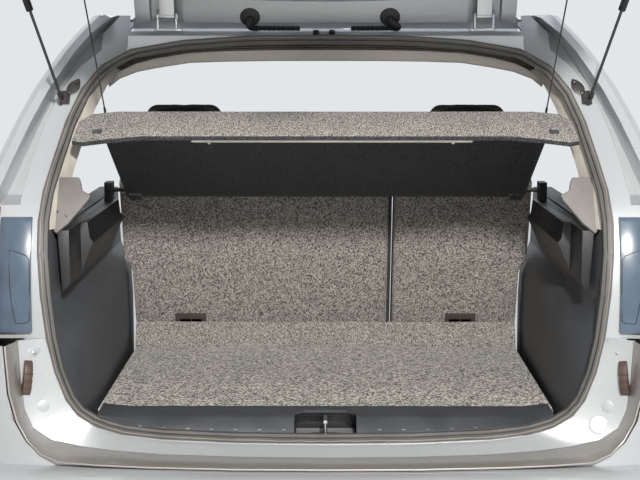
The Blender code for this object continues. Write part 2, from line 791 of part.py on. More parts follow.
def build_sill_trim():
    aperture = [(row[0], row[1]) for row in APERTURE[:6]]
    sections = []
    for (x,) in mirrored([(0.0,), (0.15,), (0.332,), (0.415,), (SILL_HALF,)]):
        edge = between(aperture, abs(x))
        high = max(0.700, edge + 0.012)
        profile = [
            (SILL_REAR_Y, edge - 0.012),
            (SILL_REAR_Y, edge + 0.0145),
            (SILL_REAR_Y + 0.022, high - 0.004),
            (SILL_REAR_Y + 0.034, high),
            (SILL_FRONT_Y - 0.010, high),
            (SILL_FRONT_Y, high - 0.006),
            (SILL_FRONT_Y, high - 0.022),
            (SILL_FRONT_Y - 0.004, high - 0.022),
            (SILL_FRONT_Y - 0.006, high - 0.006),
            (SILL_REAR_Y + 0.036, high - 0.004),
            (SILL_REAR_Y + 0.023, high - 0.008),
            (SILL_REAR_Y + 0.004, edge + 0.010),
            (SILL_REAR_Y + 0.004, edge - 0.012),
        ]
        sections.append([(x, y, z) for y, z in profile])
    trim = add("sill_trim", loft(sections, closed_section=True, capped=True), GREY_PLASTIC)
    wide, narrow = RECESS_HALF, RECESS_HALF - RECESS_SLOPE
    notch = [(-wide, 0.0), (wide, 0.0), (wide, RECESS_FRONT_Y - 0.02), (narrow, RECESS_FRONT_Y),
             (-narrow, RECESS_FRONT_Y), (-wide, RECESS_FRONT_Y - 0.02)]
    cut(trim, slab(notch, 0.60, 0.75), "recess")
    return trim


# Striker loop on its plate
STRIKER_Z = 0.690
STRIKER_BAR = 4 * MM


def build_striker():
    base = 0.650
    plate = add("striker", box((-0.030, 0.012, base), (0.030, 0.076, base + 4 * MM)), STEEL)
    join(plate, rod((0, 0.024, base + 2 * MM), (0, 0.024, STRIKER_Z), STRIKER_BAR), "leg_rear")
    join(plate, rod((0, 0.064, base + 2 * MM), (0, 0.064, STRIKER_Z), STRIKER_BAR), "leg_front")
    join(plate, rod((0, 0.020, STRIKER_Z), (0, 0.068, STRIKER_Z), STRIKER_BAR + 0.2 * MM), "bar")
    add("striker_floor", box((-0.062, PANEL_SHEET + SEAT_GAP, 0.640), (0.062, 0.126, base - SEAT_GAP)), SILVER)


# Side trims with the bulge over the wheel house
SIDE_TRIM_LEVELS = [
    # height, half widths at the six stations from the sill forward
    (PAN_Z + SEAT_GAP, 0.535, 0.506, 0.500, 0.499, 0.506, 0.516),
    (0.690, 0.535, 0.506, 0.500, 0.499, 0.506, 0.516),
    (0.800, 0.545, 0.508, 0.502, 0.500, 0.506, 0.516),
    (0.870, 0.550, 0.520, 0.508, 0.504, 0.506, 0.520),
    (0.910, 0.556, 0.545, 0.525, 0.514, 0.516, 0.535),
    (0.940, 0.560, 0.556, 0.548, 0.544, 0.545, 0.546),
    (1.084, 0.562, 0.560, 0.556, 0.552, 0.552, 0.552),
]
SIDE_TRIM_Y = [0.014, 0.130, 0.230, 0.380, 0.800, 0.960]
SIDE_TRIM_OUT = PAN_HALF
TRIM_SHEET = 4 * MM
TRIM_HEM = 14 * MM


def build_side_trim(word, side):
    sections = []
    for row in SIDE_TRIM_LEVELS:
        inner = [(side * x, y + max(aperture_y(row[0]) - 0.0, 0) * (index == 0), row[0])
                 for index, (x, y) in enumerate(zip(row[1:], SIDE_TRIM_Y))]
        outer = [(side * SIDE_TRIM_OUT, y, row[0]) for y in (SIDE_TRIM_Y[-1], 0.50, SIDE_TRIM_Y[0] + 0.05)]
        sections.append(inner + outer)
    trim = add(f"side_trim_{word}", loft(sections, closed_section=True, capped=True), UPHOLSTERY)
    core = []
    for row in SIDE_TRIM_LEVELS:
        z = row[0]
        if z == SIDE_TRIM_LEVELS[0][0]:
            z -= 0.010
        if z == SIDE_TRIM_LEVELS[-1][0]:
            z -= TRIM_SHEET
        ys = [y + TRIM_HEM * (index == 0) - TRIM_SHEET * (index == len(SIDE_TRIM_Y) - 1)
              for index, y in enumerate(SIDE_TRIM_Y)]
        inner = [(side * (x + TRIM_SHEET), y + max(aperture_y(row[0]), 0) * (index == 0), z)
                 for index, (x, y) in enumerate(zip(row[1:], ys))]
        outer = [(side * (SIDE_TRIM_OUT + 0.010), y, z) for y in (ys[-1], 0.47, ys[0] + 0.07)]
        core.append(inner + outer)
    return cut(trim, loft(core, closed_section=True, capped=True), "hollow")


# Pillar trims round the quarter window
PILLAR_LEVELS = [1.084 + SEAT_GAP, 1.135, 1.200, 1.260, 1.320, 1.370, 1.405]
PILLAR_THICK = 12 * MM
PILLAR_STAND = 0.030
PILLAR_STAND_DEEP = 0.050


def pillar_inner(z, y):
    """Half width of the pillar trim's inner face: it stands proud inside the seal, then runs out to the window."""
    rear = aperture_y(z) + 0.013
    start = aperture_x(z) - 0.006
    if y <= rear + PILLAR_STAND_DEEP:
        return start - PILLAR_STAND * min(max((y - rear) / PILLAR_STAND_DEEP, 0.0), 1.0)
    share = min((y - rear - PILLAR_STAND_DEEP) / (0.60 - rear - PILLAR_STAND_DEEP), 1.0)
    end = skin_x(0.9, z) - 0.105
    return start - PILLAR_STAND + (max(end, start) - start + PILLAR_STAND) * share


def build_pillar_trim(word, side):
    sections = []
    for z in PILLAR_LEVELS:
        rear = aperture_y(z) + 0.013
        stations = [rear, rear + PILLAR_STAND_DEEP, 0.46, 0.60, 0.78, 0.96]
        inner = [(side * pillar_inner(z, y), y, z) for y in stations]
        outer = [(side * (pillar_inner(z, y) + PILLAR_THICK), y, z) for y in reversed(stations)]
        sections.append(inner + outer)
    piece = add(f"pillar_trim_{word}", loft(sections, closed_section=True, capped=True), BEIGE_PLASTIC)
    low, high = sorted((side * 0.40, side * 1.00))
    cut(piece, slab(shrink(QUARTER_WINDOW, -6 * MM), low, high, "x"), "window")
    return piece


# Corner trims that carry the shelf
REST_OUTLINE = [(0.5514, 1.080), (0.512, 1.080), (0.508, 1.046), (0.500, 1.036), (0.532, 0.962), (0.5436, 0.952)]
REST_REAR_Y = 0.075
REST_FRONT_Y = 0.690
REST_LIP_X = 0.5275
REST_LIP_Y = 0.216
SHELF_Y = 0.665
SHELF_Z = 1.105
PIVOT_RADIUS = 5 * MM
POCKET_HALF = PIVOT_RADIUS + 0.4 * MM


def build_shelf_rest(word, side):
    outline = [(side * x, z) for x, z in REST_OUTLINE]
    piece = add(f"shelf_rest_{word}", slab(outline, REST_REAR_Y, REST_FRONT_Y, "y"), GREY_PLASTIC)
    cut(piece, box(*sorted_x(side, 0.480, REST_LIP_X, 0.0, REST_LIP_Y, 0.90, 1.20)), "lip_room")
    for name, y in (("front_lug", SHELF_Y),):
        join(piece, box(*sorted_x(side, 0.522, 0.540, y - 0.024, y + 0.024, 1.070, 1.125)), name)
        cut(piece, box(*sorted_x(side, 0.510, 0.534, y - POCKET_HALF, y + POCKET_HALF, SHELF_Z - POCKET_HALF, 1.140)), f"{name}_slot")
    return piece


# Headliner
def build_headliner():
    stations = mirrored([(0.0,), (0.16,), (0.30,), (0.40,)])
    steps = [0.318, 0.345, 0.395, 0.50, 0.75, 1.03]
    lows = [1.4757, 1.455, 1.455, 1.500, 1.5055, 1.5055]
    sections = []
    for (x,) in stations:
        drop = 0.030 * (x / 0.40) ** 4
        low = [(x, y, z - drop) for y, z in zip(steps, lows)]
        high = [(x, y, z + 5 * MM) for x, y, z in reversed(low)]
        sections.append(low + high)
    return add("headliner", loft(sections, closed_section=True, capped=True), BEIGE_PLASTIC)


# Load floor, its fixed front flap, and the tray below
FLOOR_HINGE_Y = 0.778
FLOOR_TOP_Z = 0.690
FLOOR_THICK = 16 * MM
FLOOR_HALF = 0.485
FLOOR_REAR_Y = 0.136
LOAD_FLOOR = frame("load_floor_frame", (0, FLOOR_HINGE_Y, FLOOR_TOP_Z), SECTION)
FLAP_OUTLINE = [(0.784, 0.690), (0.813, 0.748), (0.820, 0.742), (0.796, 0.684), (0.792, PAN_Z + SEAT_GAP), (0.784, PAN_Z + SEAT_GAP)]


def build_load_floor():
    lid = add("load_floor", box((-FLOOR_HALF, FLOOR_REAR_Y - FLOOR_HINGE_Y, -FLOOR_THICK), (FLOOR_HALF, -3 * MM, 0)),
              CARPET, LOAD_FLOOR)
    add("floor_flap", slab(FLAP_OUTLINE, -0.490, 0.490, "x"), CARPET)
    tray = add("underfloor_tray", box((-0.470, 0.140, PAN_Z + SEAT_GAP), (0.470, 0.770, FLOOR_TOP_Z - FLOOR_THICK - SEAT_GAP)), BLACK_PLASTIC)
    cut(tray, box((-0.466, 0.144, PAN_Z + 4 * MM), (0.466, 0.766, 0.700)), "hollow")
    return lid


# Rear seat: the back splits, and each side folds forward on to the cushion
TETHER_X = 0.349
TETHER_LOCAL_Z = 0.100


def build_seat(word, split, out):
    hinge = frame(f"seat_back_{word}_frame", (0, SEAT_Y, SEAT_Z), SECTION, SEAT_LEAN)
    outline = [
        (split, SEAT_LOW),
        (out * SEAT_NARROW, SEAT_LOW),
        (out * SEAT_NARROW, SEAT_SHOULDER_Z - 0.030),
        (out * SEAT_WIDE, SEAT_SHOULDER_Z),
        (out * SEAT_WIDE, SEAT_HIGH - 0.050),
        (out * (SEAT_WIDE - 0.050), SEAT_HIGH),
        (split, SEAT_HIGH),
    ]
    back = add(f"seat_back_{word}", slab(outline, -SEAT_THICK / 2, SEAT_THICK / 2, "y"), CARPET, hinge)
    for name, x in (("inner", SEAT_SPLIT_X), ("outer", out * (SEAT_NARROW + 4.5 * MM))):
        cut(back, rod((x - 0.034, 0, 0), (x + 0.034, 0, 0), SEAT_PIN + SEAT_GAP, 16), f"pin_{name}")
    x = out * TETHER_X
    pocket = box((x - 0.030, -SEAT_THICK, TETHER_LOCAL_Z - 0.022), (x + 0.030, -SEAT_THICK / 2 + 0.026, TETHER_LOCAL_Z + 0.022))
    cut(back, pocket, "tether_pocket")
    face = -SEAT_THICK / 2 - SEAT_GAP
    bezel = add(f"tether_{word}", box((x - 0.040, face - 3 * MM, TETHER_LOCAL_Z - 0.036),
                                      (x + 0.040, face, TETHER_LOCAL_Z + 0.036)), GREY_PLASTIC, hinge)
    cut(bezel, box((x - 0.028, -1, TETHER_LOCAL_Z - 0.016), (x + 0.028, 1, TETHER_LOCAL_Z + 0.020)), "slot")
    join(bezel, rod((x, face - 1.5 * MM, TETHER_LOCAL_Z - 0.018), (x, face - 1.5 * MM, TETHER_LOCAL_Z + 0.022), 1.4 * MM, 8), "bar")
    rest = add(f"head_restraint_{word}", box((x - 0.100, -0.035, SEAT_HIGH + 0.006), (x + 0.100, 0.045, SEAT_HIGH + 0.130)),
               UPHOLSTERY, hinge)
    bevel(rest, 0.022, 3)
    for name, off in (("a", -0.05), ("b", 0.05)):
        join(rest, rod((x + off, 0, SEAT_HIGH - 0.100), (x + off, 0, SEAT_HIGH + 0.030), 5 * MM, 12), f"post_{name}")
        cut(back, rod((x + off, 0, SEAT_HIGH - 0.130), (x + off, 0, SEAT_HIGH + 0.030), 5.4 * MM, 12), f"guide_{name}")
    return back


def build_cushion():
    cushion = add("seat_cushion", box((-0.580, 0.985, PAN_Z + SEAT_GAP), (0.580, JOIN_Y - 0.004, CUSHION_TOP)), UPHOLSTERY)
    bevel(cushion, 0.030, 3)
    return cushion


# Strut and shelf cord places, with the tailgate shut
FOOT = Vector((0.5527, 0.1634, 1.349))
STUD_SHUT = Vector((0.6307, 0.0278, 1.135))
CYLINDER_LONG = 0.2628
CYLINDER_RADIUS = 7.5 * MM
ROD_RADIUS = 3 * MM
EYE_RADIUS = 6 * MM
ROD_INSIDE = 12 * MM
BORE_START = 24 * MM
FOOT_PLATE = [(0.541, 1.334), (0.5625, 1.334), (0.5625, 1.3615), (0.541, 1.3615)]
FOOT_STAND = 3 * MM
FOOT_SHEET = 3 * MM


CORD_SHUT = (0.466, 0.002, 1.000)
CORD_HOOK = (0.470, -0.490, 0.001)
CORD_RADIUS = 1.5 * MM

# Tailgate, modelled shut round its hinge line and then opened
HINGE_Y = 0.318
HINGE_Z = 1.520
GATE_OPEN = math.radians(80)
TAILGATE = frame("tailgate_frame", (0, HINGE_Y, HINGE_Z), SECTION, -GATE_OPEN)
GATE_BACK = (0, -HINGE_Y, -HINGE_Z)
GATE_ROWS = [
    # height, half width, skin behind the aperture at the edge, and in the middle
    (0.650, 0.300, 0.060, 0.085),
    (0.664, 0.420, 0.060, 0.090),
    (0.690, 0.500, 0.062, 0.105),
    (0.740, 0.560, 0.062, 0.115),
    (0.820, 0.588, 0.060, 0.118),
    (0.874, 0.600, 0.059, 0.116),
    (0.905, 0.636, 0.058, 0.115),
    (0.980, 0.648, 0.056, 0.108),
    (1.060, 0.650, 0.054, 0.095),
    (1.130, 0.650, 0.052, 0.085),
    (1.222, 0.632, 0.050, 0.080),
    (1.298, 0.604, 0.050, 0.078),
    (1.363, 0.576, 0.050, 0.076),
    (1.411, 0.547, 0.050, 0.074),
    (1.450, 0.521, 0.050, 0.070),
    (1.500, 0.480, 0.095, 0.087),
]
GATE_CORE_ROWS = GATE_ROWS[2:-1]
GATE_GLASS_ROWS = GATE_ROWS[7:-1]
GATE_TOP_Z = 1.500
# Edge of the header's flange, as height by half width
HEADER_EDGE = [(row[0], row[1]) for row in reversed(APERTURE[-4:])]
GATE_SEAL = 0.016
GATE_RIM = 0.036
GATE_HEM = 0.022
GATE_SHEET = 3 * MM
GATE_REVEAL = 0.010
GATE_HATCH = [(-0.300, 0.780), (0.300, 0.780), (0.300, 0.940), (-0.300, 0.940)]
GATE_WINDOW = [(-0.470, 1.060), (0.470, 1.060), (0.430, 1.300), (0.350, 1.400), (-0.350, 1.400), (-0.430, 1.300)]


GATE_SHARES = (-1, -0.9, -0.7, -0.45, -0.2, 0, 0.2, 0.45, 0.7, 0.9, 1)


def gate_skin(x, z):
    """How far forward the tailgate's skin is, with the tailgate shut."""
    half, edge, middle = (between(GATE_ROWS, z, column) for column in (1, 2, 3))
    share = 1 - min(abs(x) / half, 1.0) ** 2.5
    return aperture_y(z) - edge - (middle - edge) * share


def gate_seal_x(z):
    """Half width of the face that meets the weatherstrip."""
    half = between(GATE_ROWS, z, 1)
    if z <= 0.70:
        return half - 0.020
    return min(aperture_x(min(z, 1.45)) + 0.006, half - 0.020)


def gate_face_y(x, z):
    """The aperture's face opposite a point of the tailgate: over the header it follows the flange's curved edge."""
    return aperture_y(min(z, between(HEADER_EDGE, abs(x))))


def gate_section(z):
    half = between(GATE_ROWS, z, 1)
    outer = [(share * half, gate_skin(share * half, z)) for share in GATE_SHARES]
    seal = gate_seal_x(z)
    right = [
        # across, behind the aperture's face
        (half, GATE_RIM),
        (seal + 0.010, GATE_RIM),
        (seal, GATE_SEAL),
        (seal - 0.060, GATE_SEAL),
        (0.6 * seal, GATE_SEAL),
        (0.3 * seal, GATE_SEAL),
    ]
    left = [(-x, back) for x, back in reversed(right)]
    inner = [(x, gate_face_y(x, z) - back) for x, back in right + [(0.0, GATE_SEAL)] + left]
    return [(x, y, z) for x, y in outer + inner]


def gate_core():
    """The hollow between the tailgate's outer skin and its inner panel."""
    sections = []
    for row in GATE_CORE_ROWS:
        z, half = row[0], row[1]
        inset = half - GATE_HEM
        outer = [(share * inset, gate_skin(share * inset, z) + GATE_SHEET, z) for share in GATE_SHARES]
        seal = gate_seal_x(z)
        wide = min(seal, inset - 0.012)
        right = [(inset, GATE_RIM), (wide, GATE_RIM), (wide - 0.010, GATE_SEAL)]
        inner = [(x, gate_face_y(x, z) - back - GATE_SHEET, z) for x, back in right]
        inner += [(-x, y, level) for x, y, level in reversed(inner)]
        sections.append(outer + inner)
    return loft(sections, closed_section=True, capped=True)


def build_tailgate():
    shell = add("tailgate_shell", loft([gate_section(row[0]) for row in GATE_ROWS], closed_section=True, capped=True),
                SILVER_PANEL, TAILGATE, GATE_BACK)
    core = gate_core()
    kept = cut(shell, core, "core")
    cutter = bpy.data.objects["tailgate_shell_core"]
    cut(cutter, slab(shrink(GATE_WINDOW, -GATE_REVEAL), -0.30, 0.60, "y"), "reveal")
    cut(kept, slab(GATE_WINDOW, -0.30, 0.60, "y"), "window")
    cut(kept, slab(GATE_HATCH, -0.050, 0.10, "y"), "hatch")
    for word, side in SIDES.items():
        stud = (side * STUD_SHUT.x, STUD_SHUT.y - EYE_RADIUS - SEAT_GAP, STUD_SHUT.z)
        join(shell, rod((stud[0], stud[1] - 0.014, stud[2]), stud, 4 * MM, 12), f"stud_{word}")
        knob = (side * CORD_SHUT[0], CORD_SHUT[1] - CORD_RADIUS - SEAT_GAP, CORD_SHUT[2])
        join(shell, rod((knob[0], knob[1] - 0.012, knob[2]), knob, 4 * MM, 12), f"knob_{word}")
    sections = []
    for row in GATE_GLASS_ROWS:
        z, half = row[0], row[1]
        columns = [share * half for share in GATE_SHARES[1:-1]]
        far = [(x, gate_skin(x, z) - 5.5 * MM, z) for x in columns]
        near = [(x, gate_skin(x, z) - 0.9 * MM, z) for x in reversed(columns)]
        sections.append(far + near)
    pane = add("tailgate_glass", loft(sections, closed_section=True, capped=True), GLASS, TAILGATE, GATE_BACK)
    cut(pane, slab(shrink(GATE_WINDOW, -0.022), -0.30, 0.60, "y"), "edge", "INTERSECT")
    build_spoiler()
    build_gate_trim()
    for word, side in SIDES.items():
        build_hinge(word, side)
        build_strut(word, side)
        build_boot(word, side)
    return shell


def build_spoiler():
    """The cap over the glass that carries the skin up to the hinge line."""
    sections = []
    for (x,) in mirrored([(0.0,), (0.20,), (0.36,), (0.414,)]):
        fall = 0.008 * (x / 0.414) ** 2
        profile = [
            (0.332, 1.545 - fall),
            (0.240, 1.552 - fall),
            (0.168, 1.540 - fall),
            (0.162, 1.533 - fall),
            (0.200, 1.508),
            (0.232, GATE_TOP_Z + SEAT_GAP),
            (0.290, GATE_TOP_Z + SEAT_GAP),
            (0.332, 1.514),
        ]
        sections.append([(x, y, z) for y, z in profile])
    cap = add("tailgate_spoiler", loft(sections, closed_section=True, capped=True), SILVER_PANEL, TAILGATE, GATE_BACK)
    for word, side in SIDES.items():
        cut(cap, box(*sorted_x(side, HINGE_X - 0.036, HINGE_X + 0.036, 0.226, 0.360, 1.480, 1.5352)), f"hinge_{word}")
    return cap


def build_gate_trim():
    face = -GATE_SEAL + SEAT_GAP
    levels = [(0.745, 0.470), (0.820, 0.505), (0.900, 0.515), (0.980, 0.515)]
    sections = []
    for z, half in levels:
        y = aperture_y(z) + face
        deep = 0.010 if z in (0.745, 0.980) else 0.022
        sections.append([(-half, y, z), (half, y, z), (half - 0.02, y + deep, z), (-half + 0.02, y + deep, z)])
    trim = add("tailgate_trim", loft(sections, closed_section=True, capped=True), BLACK_PLASTIC, TAILGATE, GATE_BACK)
    latch = add("tailgate_latch", box((-0.040, -GATE_SEAL + SEAT_GAP, 0.690), (0.040, 0.072, 0.736)), STEEL, TAILGATE, GATE_BACK)
    cut(latch, box((-0.012, -0.004, 0.600), (0.012, 0.200, 0.716)), "slot")
    return trim


# Hinges
HINGE_X = 0.345
HINGE_PIN = 4 * MM


def build_hinge(word, side):
    x = side * HINGE_X
    bracket = add(f"hinge_bracket_{word}", box((x - 0.030, HINGE_Y + 0.004, CHANNEL_Z + ROOF_SHEET / 2 + SEAT_GAP), (x + 0.030, HINGE_Y + 0.036, CHANNEL_Z + 8 * MM)), STEEL)
    for name, off in (("inner", -0.020), ("outer", 0.020)):
        join(bracket, box((x + off - 2 * MM, HINGE_Y - 0.007, CHANNEL_Z + 6 * MM), (x + off + 2 * MM, HINGE_Y + 0.007, HINGE_Z + 0.006)), f"ear_{name}")
        join(bracket, box((x + off - 2 * MM, HINGE_Y - 0.007, CHANNEL_Z + 6 * MM), (x + off + 2 * MM, HINGE_Y + 0.016, CHANNEL_Z + 13 * MM)), f"gusset_{name}")
    join(bracket, rod((x - 0.024, HINGE_Y, HINGE_Z), (x + 0.024, HINGE_Y, HINGE_Z), HINGE_PIN), "pin")
    arm = add(f"hinge_arm_{word}", rod((x - 0.016, HINGE_Y, HINGE_Z), (x + 0.016, HINGE_Y, HINGE_Z), 8 * MM), STEEL, TAILGATE, GATE_BACK)
    cut(arm, rod((x - 0.030, HINGE_Y, HINGE_Z), (x + 0.030, HINGE_Y, HINGE_Z), HINGE_PIN + 0.1 * MM), "bore")
    join(arm, box((x - 0.016, HINGE_Y - 0.082, HINGE_Z - 0.010), (x + 0.016, HINGE_Y - 0.004, HINGE_Z - 0.003)), "strap")
    join(arm, box((x - 0.0155, HINGE_Y - 0.084, GATE_TOP_Z + SEAT_GAP), (x + 0.0155, HINGE_Y - 0.058, HINGE_Z - 0.006)), "foot")
    return bracket


# Gas struts
def shut_to_gate(point):
    """A point of the shut tailgate in the tailgate frame's own axes."""
    return Vector(point) - Vector((0, HINGE_Y, HINGE_Z))


def open_to_gate(point):
    """A fixed point of the body in the axes of the open tailgate."""
    return Matrix.Rotation(GATE_OPEN, 3, "X") @ (Vector(point) - Vector((0, HINGE_Y, HINGE_Z)))


def build_strut(word, side):
    foot = Vector((side * FOOT.x, FOOT.y, FOOT.z))
    stud = shut_to_gate((side * STUD_SHUT.x, STUD_SHUT.y, STUD_SHUT.z))
    reach = open_to_gate(foot) - stud
    pivot = frame(f"strut_{word}_frame", stud, TAILGATE)
    pivot.rotation_mode = "QUATERNION"
    pivot.rotation_quaternion = reach.to_track_quat("Z", "Y")
    long = reach.length
    cylinder = add(f"strut_cylinder_{word}", rod((0, 0, 0.018), (0, 0, CYLINDER_LONG), CYLINDER_RADIUS, 20), BLACK_PLASTIC, pivot)
    join(cylinder, rod((0, 0, 0), (0, 0, 0.020), 4.5 * MM, 12), "neck")
    join(cylinder, ball((0, 0, 0), EYE_RADIUS), "socket")
    cut(cylinder, rod((0, 0, BORE_START), (0, 0, CYLINDER_LONG + 0.01), ROD_RADIUS + 0.3 * MM, 12), "bore")
    plunger = add(f"strut_rod_{word}", rod((0, 0, CYLINDER_LONG - ROD_INSIDE), (0, 0, long - 0.006), ROD_RADIUS, 12), STEEL, pivot)
    join(plunger, rod((0, 0, long - 0.012), (0, 0, long + 0.003), EYE_RADIUS, 12), "eye")
    plate = [(side * x, aperture_y(z) - FOOT_STAND, z) for x, z in FOOT_PLATE]
    far = [(x, y - FOOT_SHEET, z) for x, y, z in plate]
    add(f"strut_foot_{word}", loft([plate, far], closed_section=True, capped=True), STEEL)
    return pivot


# Wiring boots in the roof channel
BOOT_RADIUS = 6 * MM
BOOT_LINE = [(0.056, 0.336, 1.4934), (0.160, 0.334, 1.4940)]


def build_boot(word, side):
    start, end = BOOT_LINE[0], BOOT_LINE[-1]
    count = 10
    sections = []
    sides = 10
    for step in range(count * 2 + 1):
        share = step / (count * 2)
        x = start[0] + (end[0] - start[0]) * share
        y = start[1] + (end[1] - start[1]) * share
        z = start[2] + (end[2] - start[2]) * share
        radius = BOOT_RADIUS * (1.0 if step % 2 else 0.78)
        sections.append([(side * x, y + math.cos(a) * radius, z + math.sin(a) * radius)
                         for a in (math.tau * k / sides for k in range(sides))])
    return add(f"wiring_boot_{word}", loft(sections, closed_section=True, capped=True), RUBBER)


# Parcel shelf, modelled level round its pivots and then raised
SHELF_RAISED = math.radians(25.3)
SHELF = frame("parcel_shelf_frame", (0, SHELF_Y, SHELF_Z), SECTION, -SHELF_RAISED)
SHELF_THICK = 10 * MM
SHELF_LOW = -0.0156
SHELF_LONG = 0.510
SHELF_OUTLINE = [(0.487, 0.006), (0.487, -0.470), (0.470, -0.500), (0.440, -SHELF_LONG)]
LIP_DROP = math.radians(53)
LIP_OUTLINE = [(0.440, 0.0), (0.492, 0.010), (0.516, 0.040), (0.521, 0.118), (0.500, 0.124), (0.450, 0.112), (0.380, 0.100)]


def build_shelf():
    right = list(SHELF_OUTLINE)
    plan = right + [(-x, y) for x, y in reversed(right)]
    board = add("parcel_shelf", slab(plan, SHELF_LOW, SHELF_LOW + SHELF_THICK), CARPET, SHELF)
    lip = [(x, s) for x, s in LIP_OUTLINE] + [(-x, s) for x, s in reversed(LIP_OUTLINE)]
    down, back = -math.sin(LIP_DROP), -math.cos(LIP_DROP)
    start = Vector((0, -SHELF_LONG + 7 * MM, SHELF_LOW + 3.3 * MM))
    near = [start + Vector((x, back * s, down * s)) for x, s in lip]
    far = [point + Vector((0, math.sin(LIP_DROP), -math.cos(LIP_DROP))) * -SHELF_THICK for point in near]
    join(board, loft([near, far], closed_section=True, capped=True), "lip")
    for word, side in SIDES.items():
        join(board, rod((side * CORD_HOOK[0], CORD_HOOK[1], SHELF_LOW + 2 * MM),
                        (side * CORD_HOOK[0], CORD_HOOK[1], CORD_HOOK[2] - CORD_RADIUS - SEAT_GAP), 4 * MM, 12), f"hook_{word}")
        join(board, box(*sorted_x(side, 0.450, 0.480, -0.020, 0.012, -0.022, -0.0102)), f"ear_{word}")
        join(board, rod((side * 0.470, 0, 0), (side * 0.519, 0, 0), PIVOT_RADIUS, 12), f"pivot_{word}")
        join(board, box(*sorted_x(side, 0.462, 0.484, -0.010, 0.010, -0.016, 0.008)), f"boss_{word}")
    return board


# Cords from the tailgate that lift the shelf
def build_cord(word, side):
    anchor = shut_to_gate((side * CORD_SHUT[0], CORD_SHUT[1], CORD_SHUT[2]))
    lifted = Matrix.Rotation(-SHELF_RAISED, 3, "X") @ Vector((side * CORD_HOOK[0], CORD_HOOK[1], CORD_HOOK[2]))
    hook = open_to_gate(lifted + Vector((0, SHELF_Y, SHELF_Z)))
    reach = hook - anchor
    pivot = frame(f"shelf_cord_{word}_frame", anchor, TAILGATE)
    pivot.rotation_mode = "QUATERNION"
    pivot.rotation_quaternion = reach.to_track_quat("Z", "Y")
    return add(f"shelf_cord_{word}", rod((0, 0, 0), (0, 0, reach.length), CORD_RADIUS, 8), CORD, pivot)


build_roof()
build_rear_panel()
build_bumper()
build_bumper_step()
build_floor()
build_weatherstrip()
build_sill_trim()
build_striker()
build_headliner()
build_load_floor()
build_cushion()
build_tailgate()
build_shelf()
for word, side in SIDES.items():
    build_cord(word, side)
    build_body_side(word, side)
    build_lamps(word, side)
    build_quarter_glass(word, side)
    build_wheelhouse(word, side)
    build_side_trim(word, side)
    build_pillar_trim(word, side)
    build_shelf_rest(word, side)
for word, (split, out) in SEATS.items():
    build_seat(word, split, out)
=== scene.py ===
# %% [markdown]
# # The open luggage bay of a compact crossover
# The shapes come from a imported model, which is loaded here as a fixed frame. This script gives every
# piece its finish, swaps the plain soft parts for modelled ones, and adds the small fittings that catch
# the eye. Nothing in the frame is moved, so every joint of the model still works.

# %% Load the frame
import json
import math

import bmesh
import bpy
from mathutils import Matrix, Vector


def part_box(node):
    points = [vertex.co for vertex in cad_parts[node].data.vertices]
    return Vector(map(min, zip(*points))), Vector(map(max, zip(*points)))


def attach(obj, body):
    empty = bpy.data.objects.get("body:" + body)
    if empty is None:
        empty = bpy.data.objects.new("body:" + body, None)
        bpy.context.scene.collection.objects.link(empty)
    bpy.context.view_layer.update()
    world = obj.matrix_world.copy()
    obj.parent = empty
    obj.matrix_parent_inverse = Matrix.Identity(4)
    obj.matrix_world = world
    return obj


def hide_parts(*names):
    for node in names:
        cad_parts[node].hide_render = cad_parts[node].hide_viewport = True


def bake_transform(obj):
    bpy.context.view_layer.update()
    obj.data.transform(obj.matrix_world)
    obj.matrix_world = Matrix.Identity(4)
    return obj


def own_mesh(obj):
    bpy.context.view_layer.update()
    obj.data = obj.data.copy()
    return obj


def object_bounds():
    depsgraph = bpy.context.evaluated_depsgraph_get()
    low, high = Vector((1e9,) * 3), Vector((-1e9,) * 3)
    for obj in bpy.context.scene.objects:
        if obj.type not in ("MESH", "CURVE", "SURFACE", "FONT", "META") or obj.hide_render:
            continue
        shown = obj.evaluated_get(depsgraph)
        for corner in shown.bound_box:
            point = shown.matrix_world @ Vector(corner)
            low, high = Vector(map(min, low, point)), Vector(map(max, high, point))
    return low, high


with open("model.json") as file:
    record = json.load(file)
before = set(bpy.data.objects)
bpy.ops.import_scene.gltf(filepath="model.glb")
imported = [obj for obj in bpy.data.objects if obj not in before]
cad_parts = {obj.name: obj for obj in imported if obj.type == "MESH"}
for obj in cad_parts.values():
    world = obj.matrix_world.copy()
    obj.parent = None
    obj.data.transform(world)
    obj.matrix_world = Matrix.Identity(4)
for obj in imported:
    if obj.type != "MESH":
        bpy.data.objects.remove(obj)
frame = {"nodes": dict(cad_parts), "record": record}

for leftover in ("Cube", "Light", "Camera"):
    if leftover in bpy.data.objects:
        bpy.data.objects.remove(bpy.data.objects[leftover])
CAD_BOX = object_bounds()
NODES = frame["nodes"]
MM = 0.001
print("frame holds", len(NODES), "nodes in a box of", [round(v, 3) for v in CAD_BOX[1] - CAD_BOX[0]])

# %% [markdown]
# ## The camera
# The view is that of someone who stands behind the car and looks in over the bumper: level with the
# roof, tipped down a little. Every place below is easier to give in the car's own axes, with the sill at
# y = 0 and the road at z = 0, so a small helper turns those into the frame's.

# %% Car axes
JOIN_Y = 1.300
JOIN_Z = 0.400


def at(x, y, z):
    """A point of the car, measured from the sill line and the road, in the frame."""
    return Vector((x, y - JOIN_Y, z - JOIN_Z))


# %% Camera
CAMERA_PLACE = at(0.0, -2.88, 1.46)
CAMERA_DOWN = math.radians(7.7)
CAMERA_LEFT = math.radians(0.217)
CAMERA_LENS = 81.6

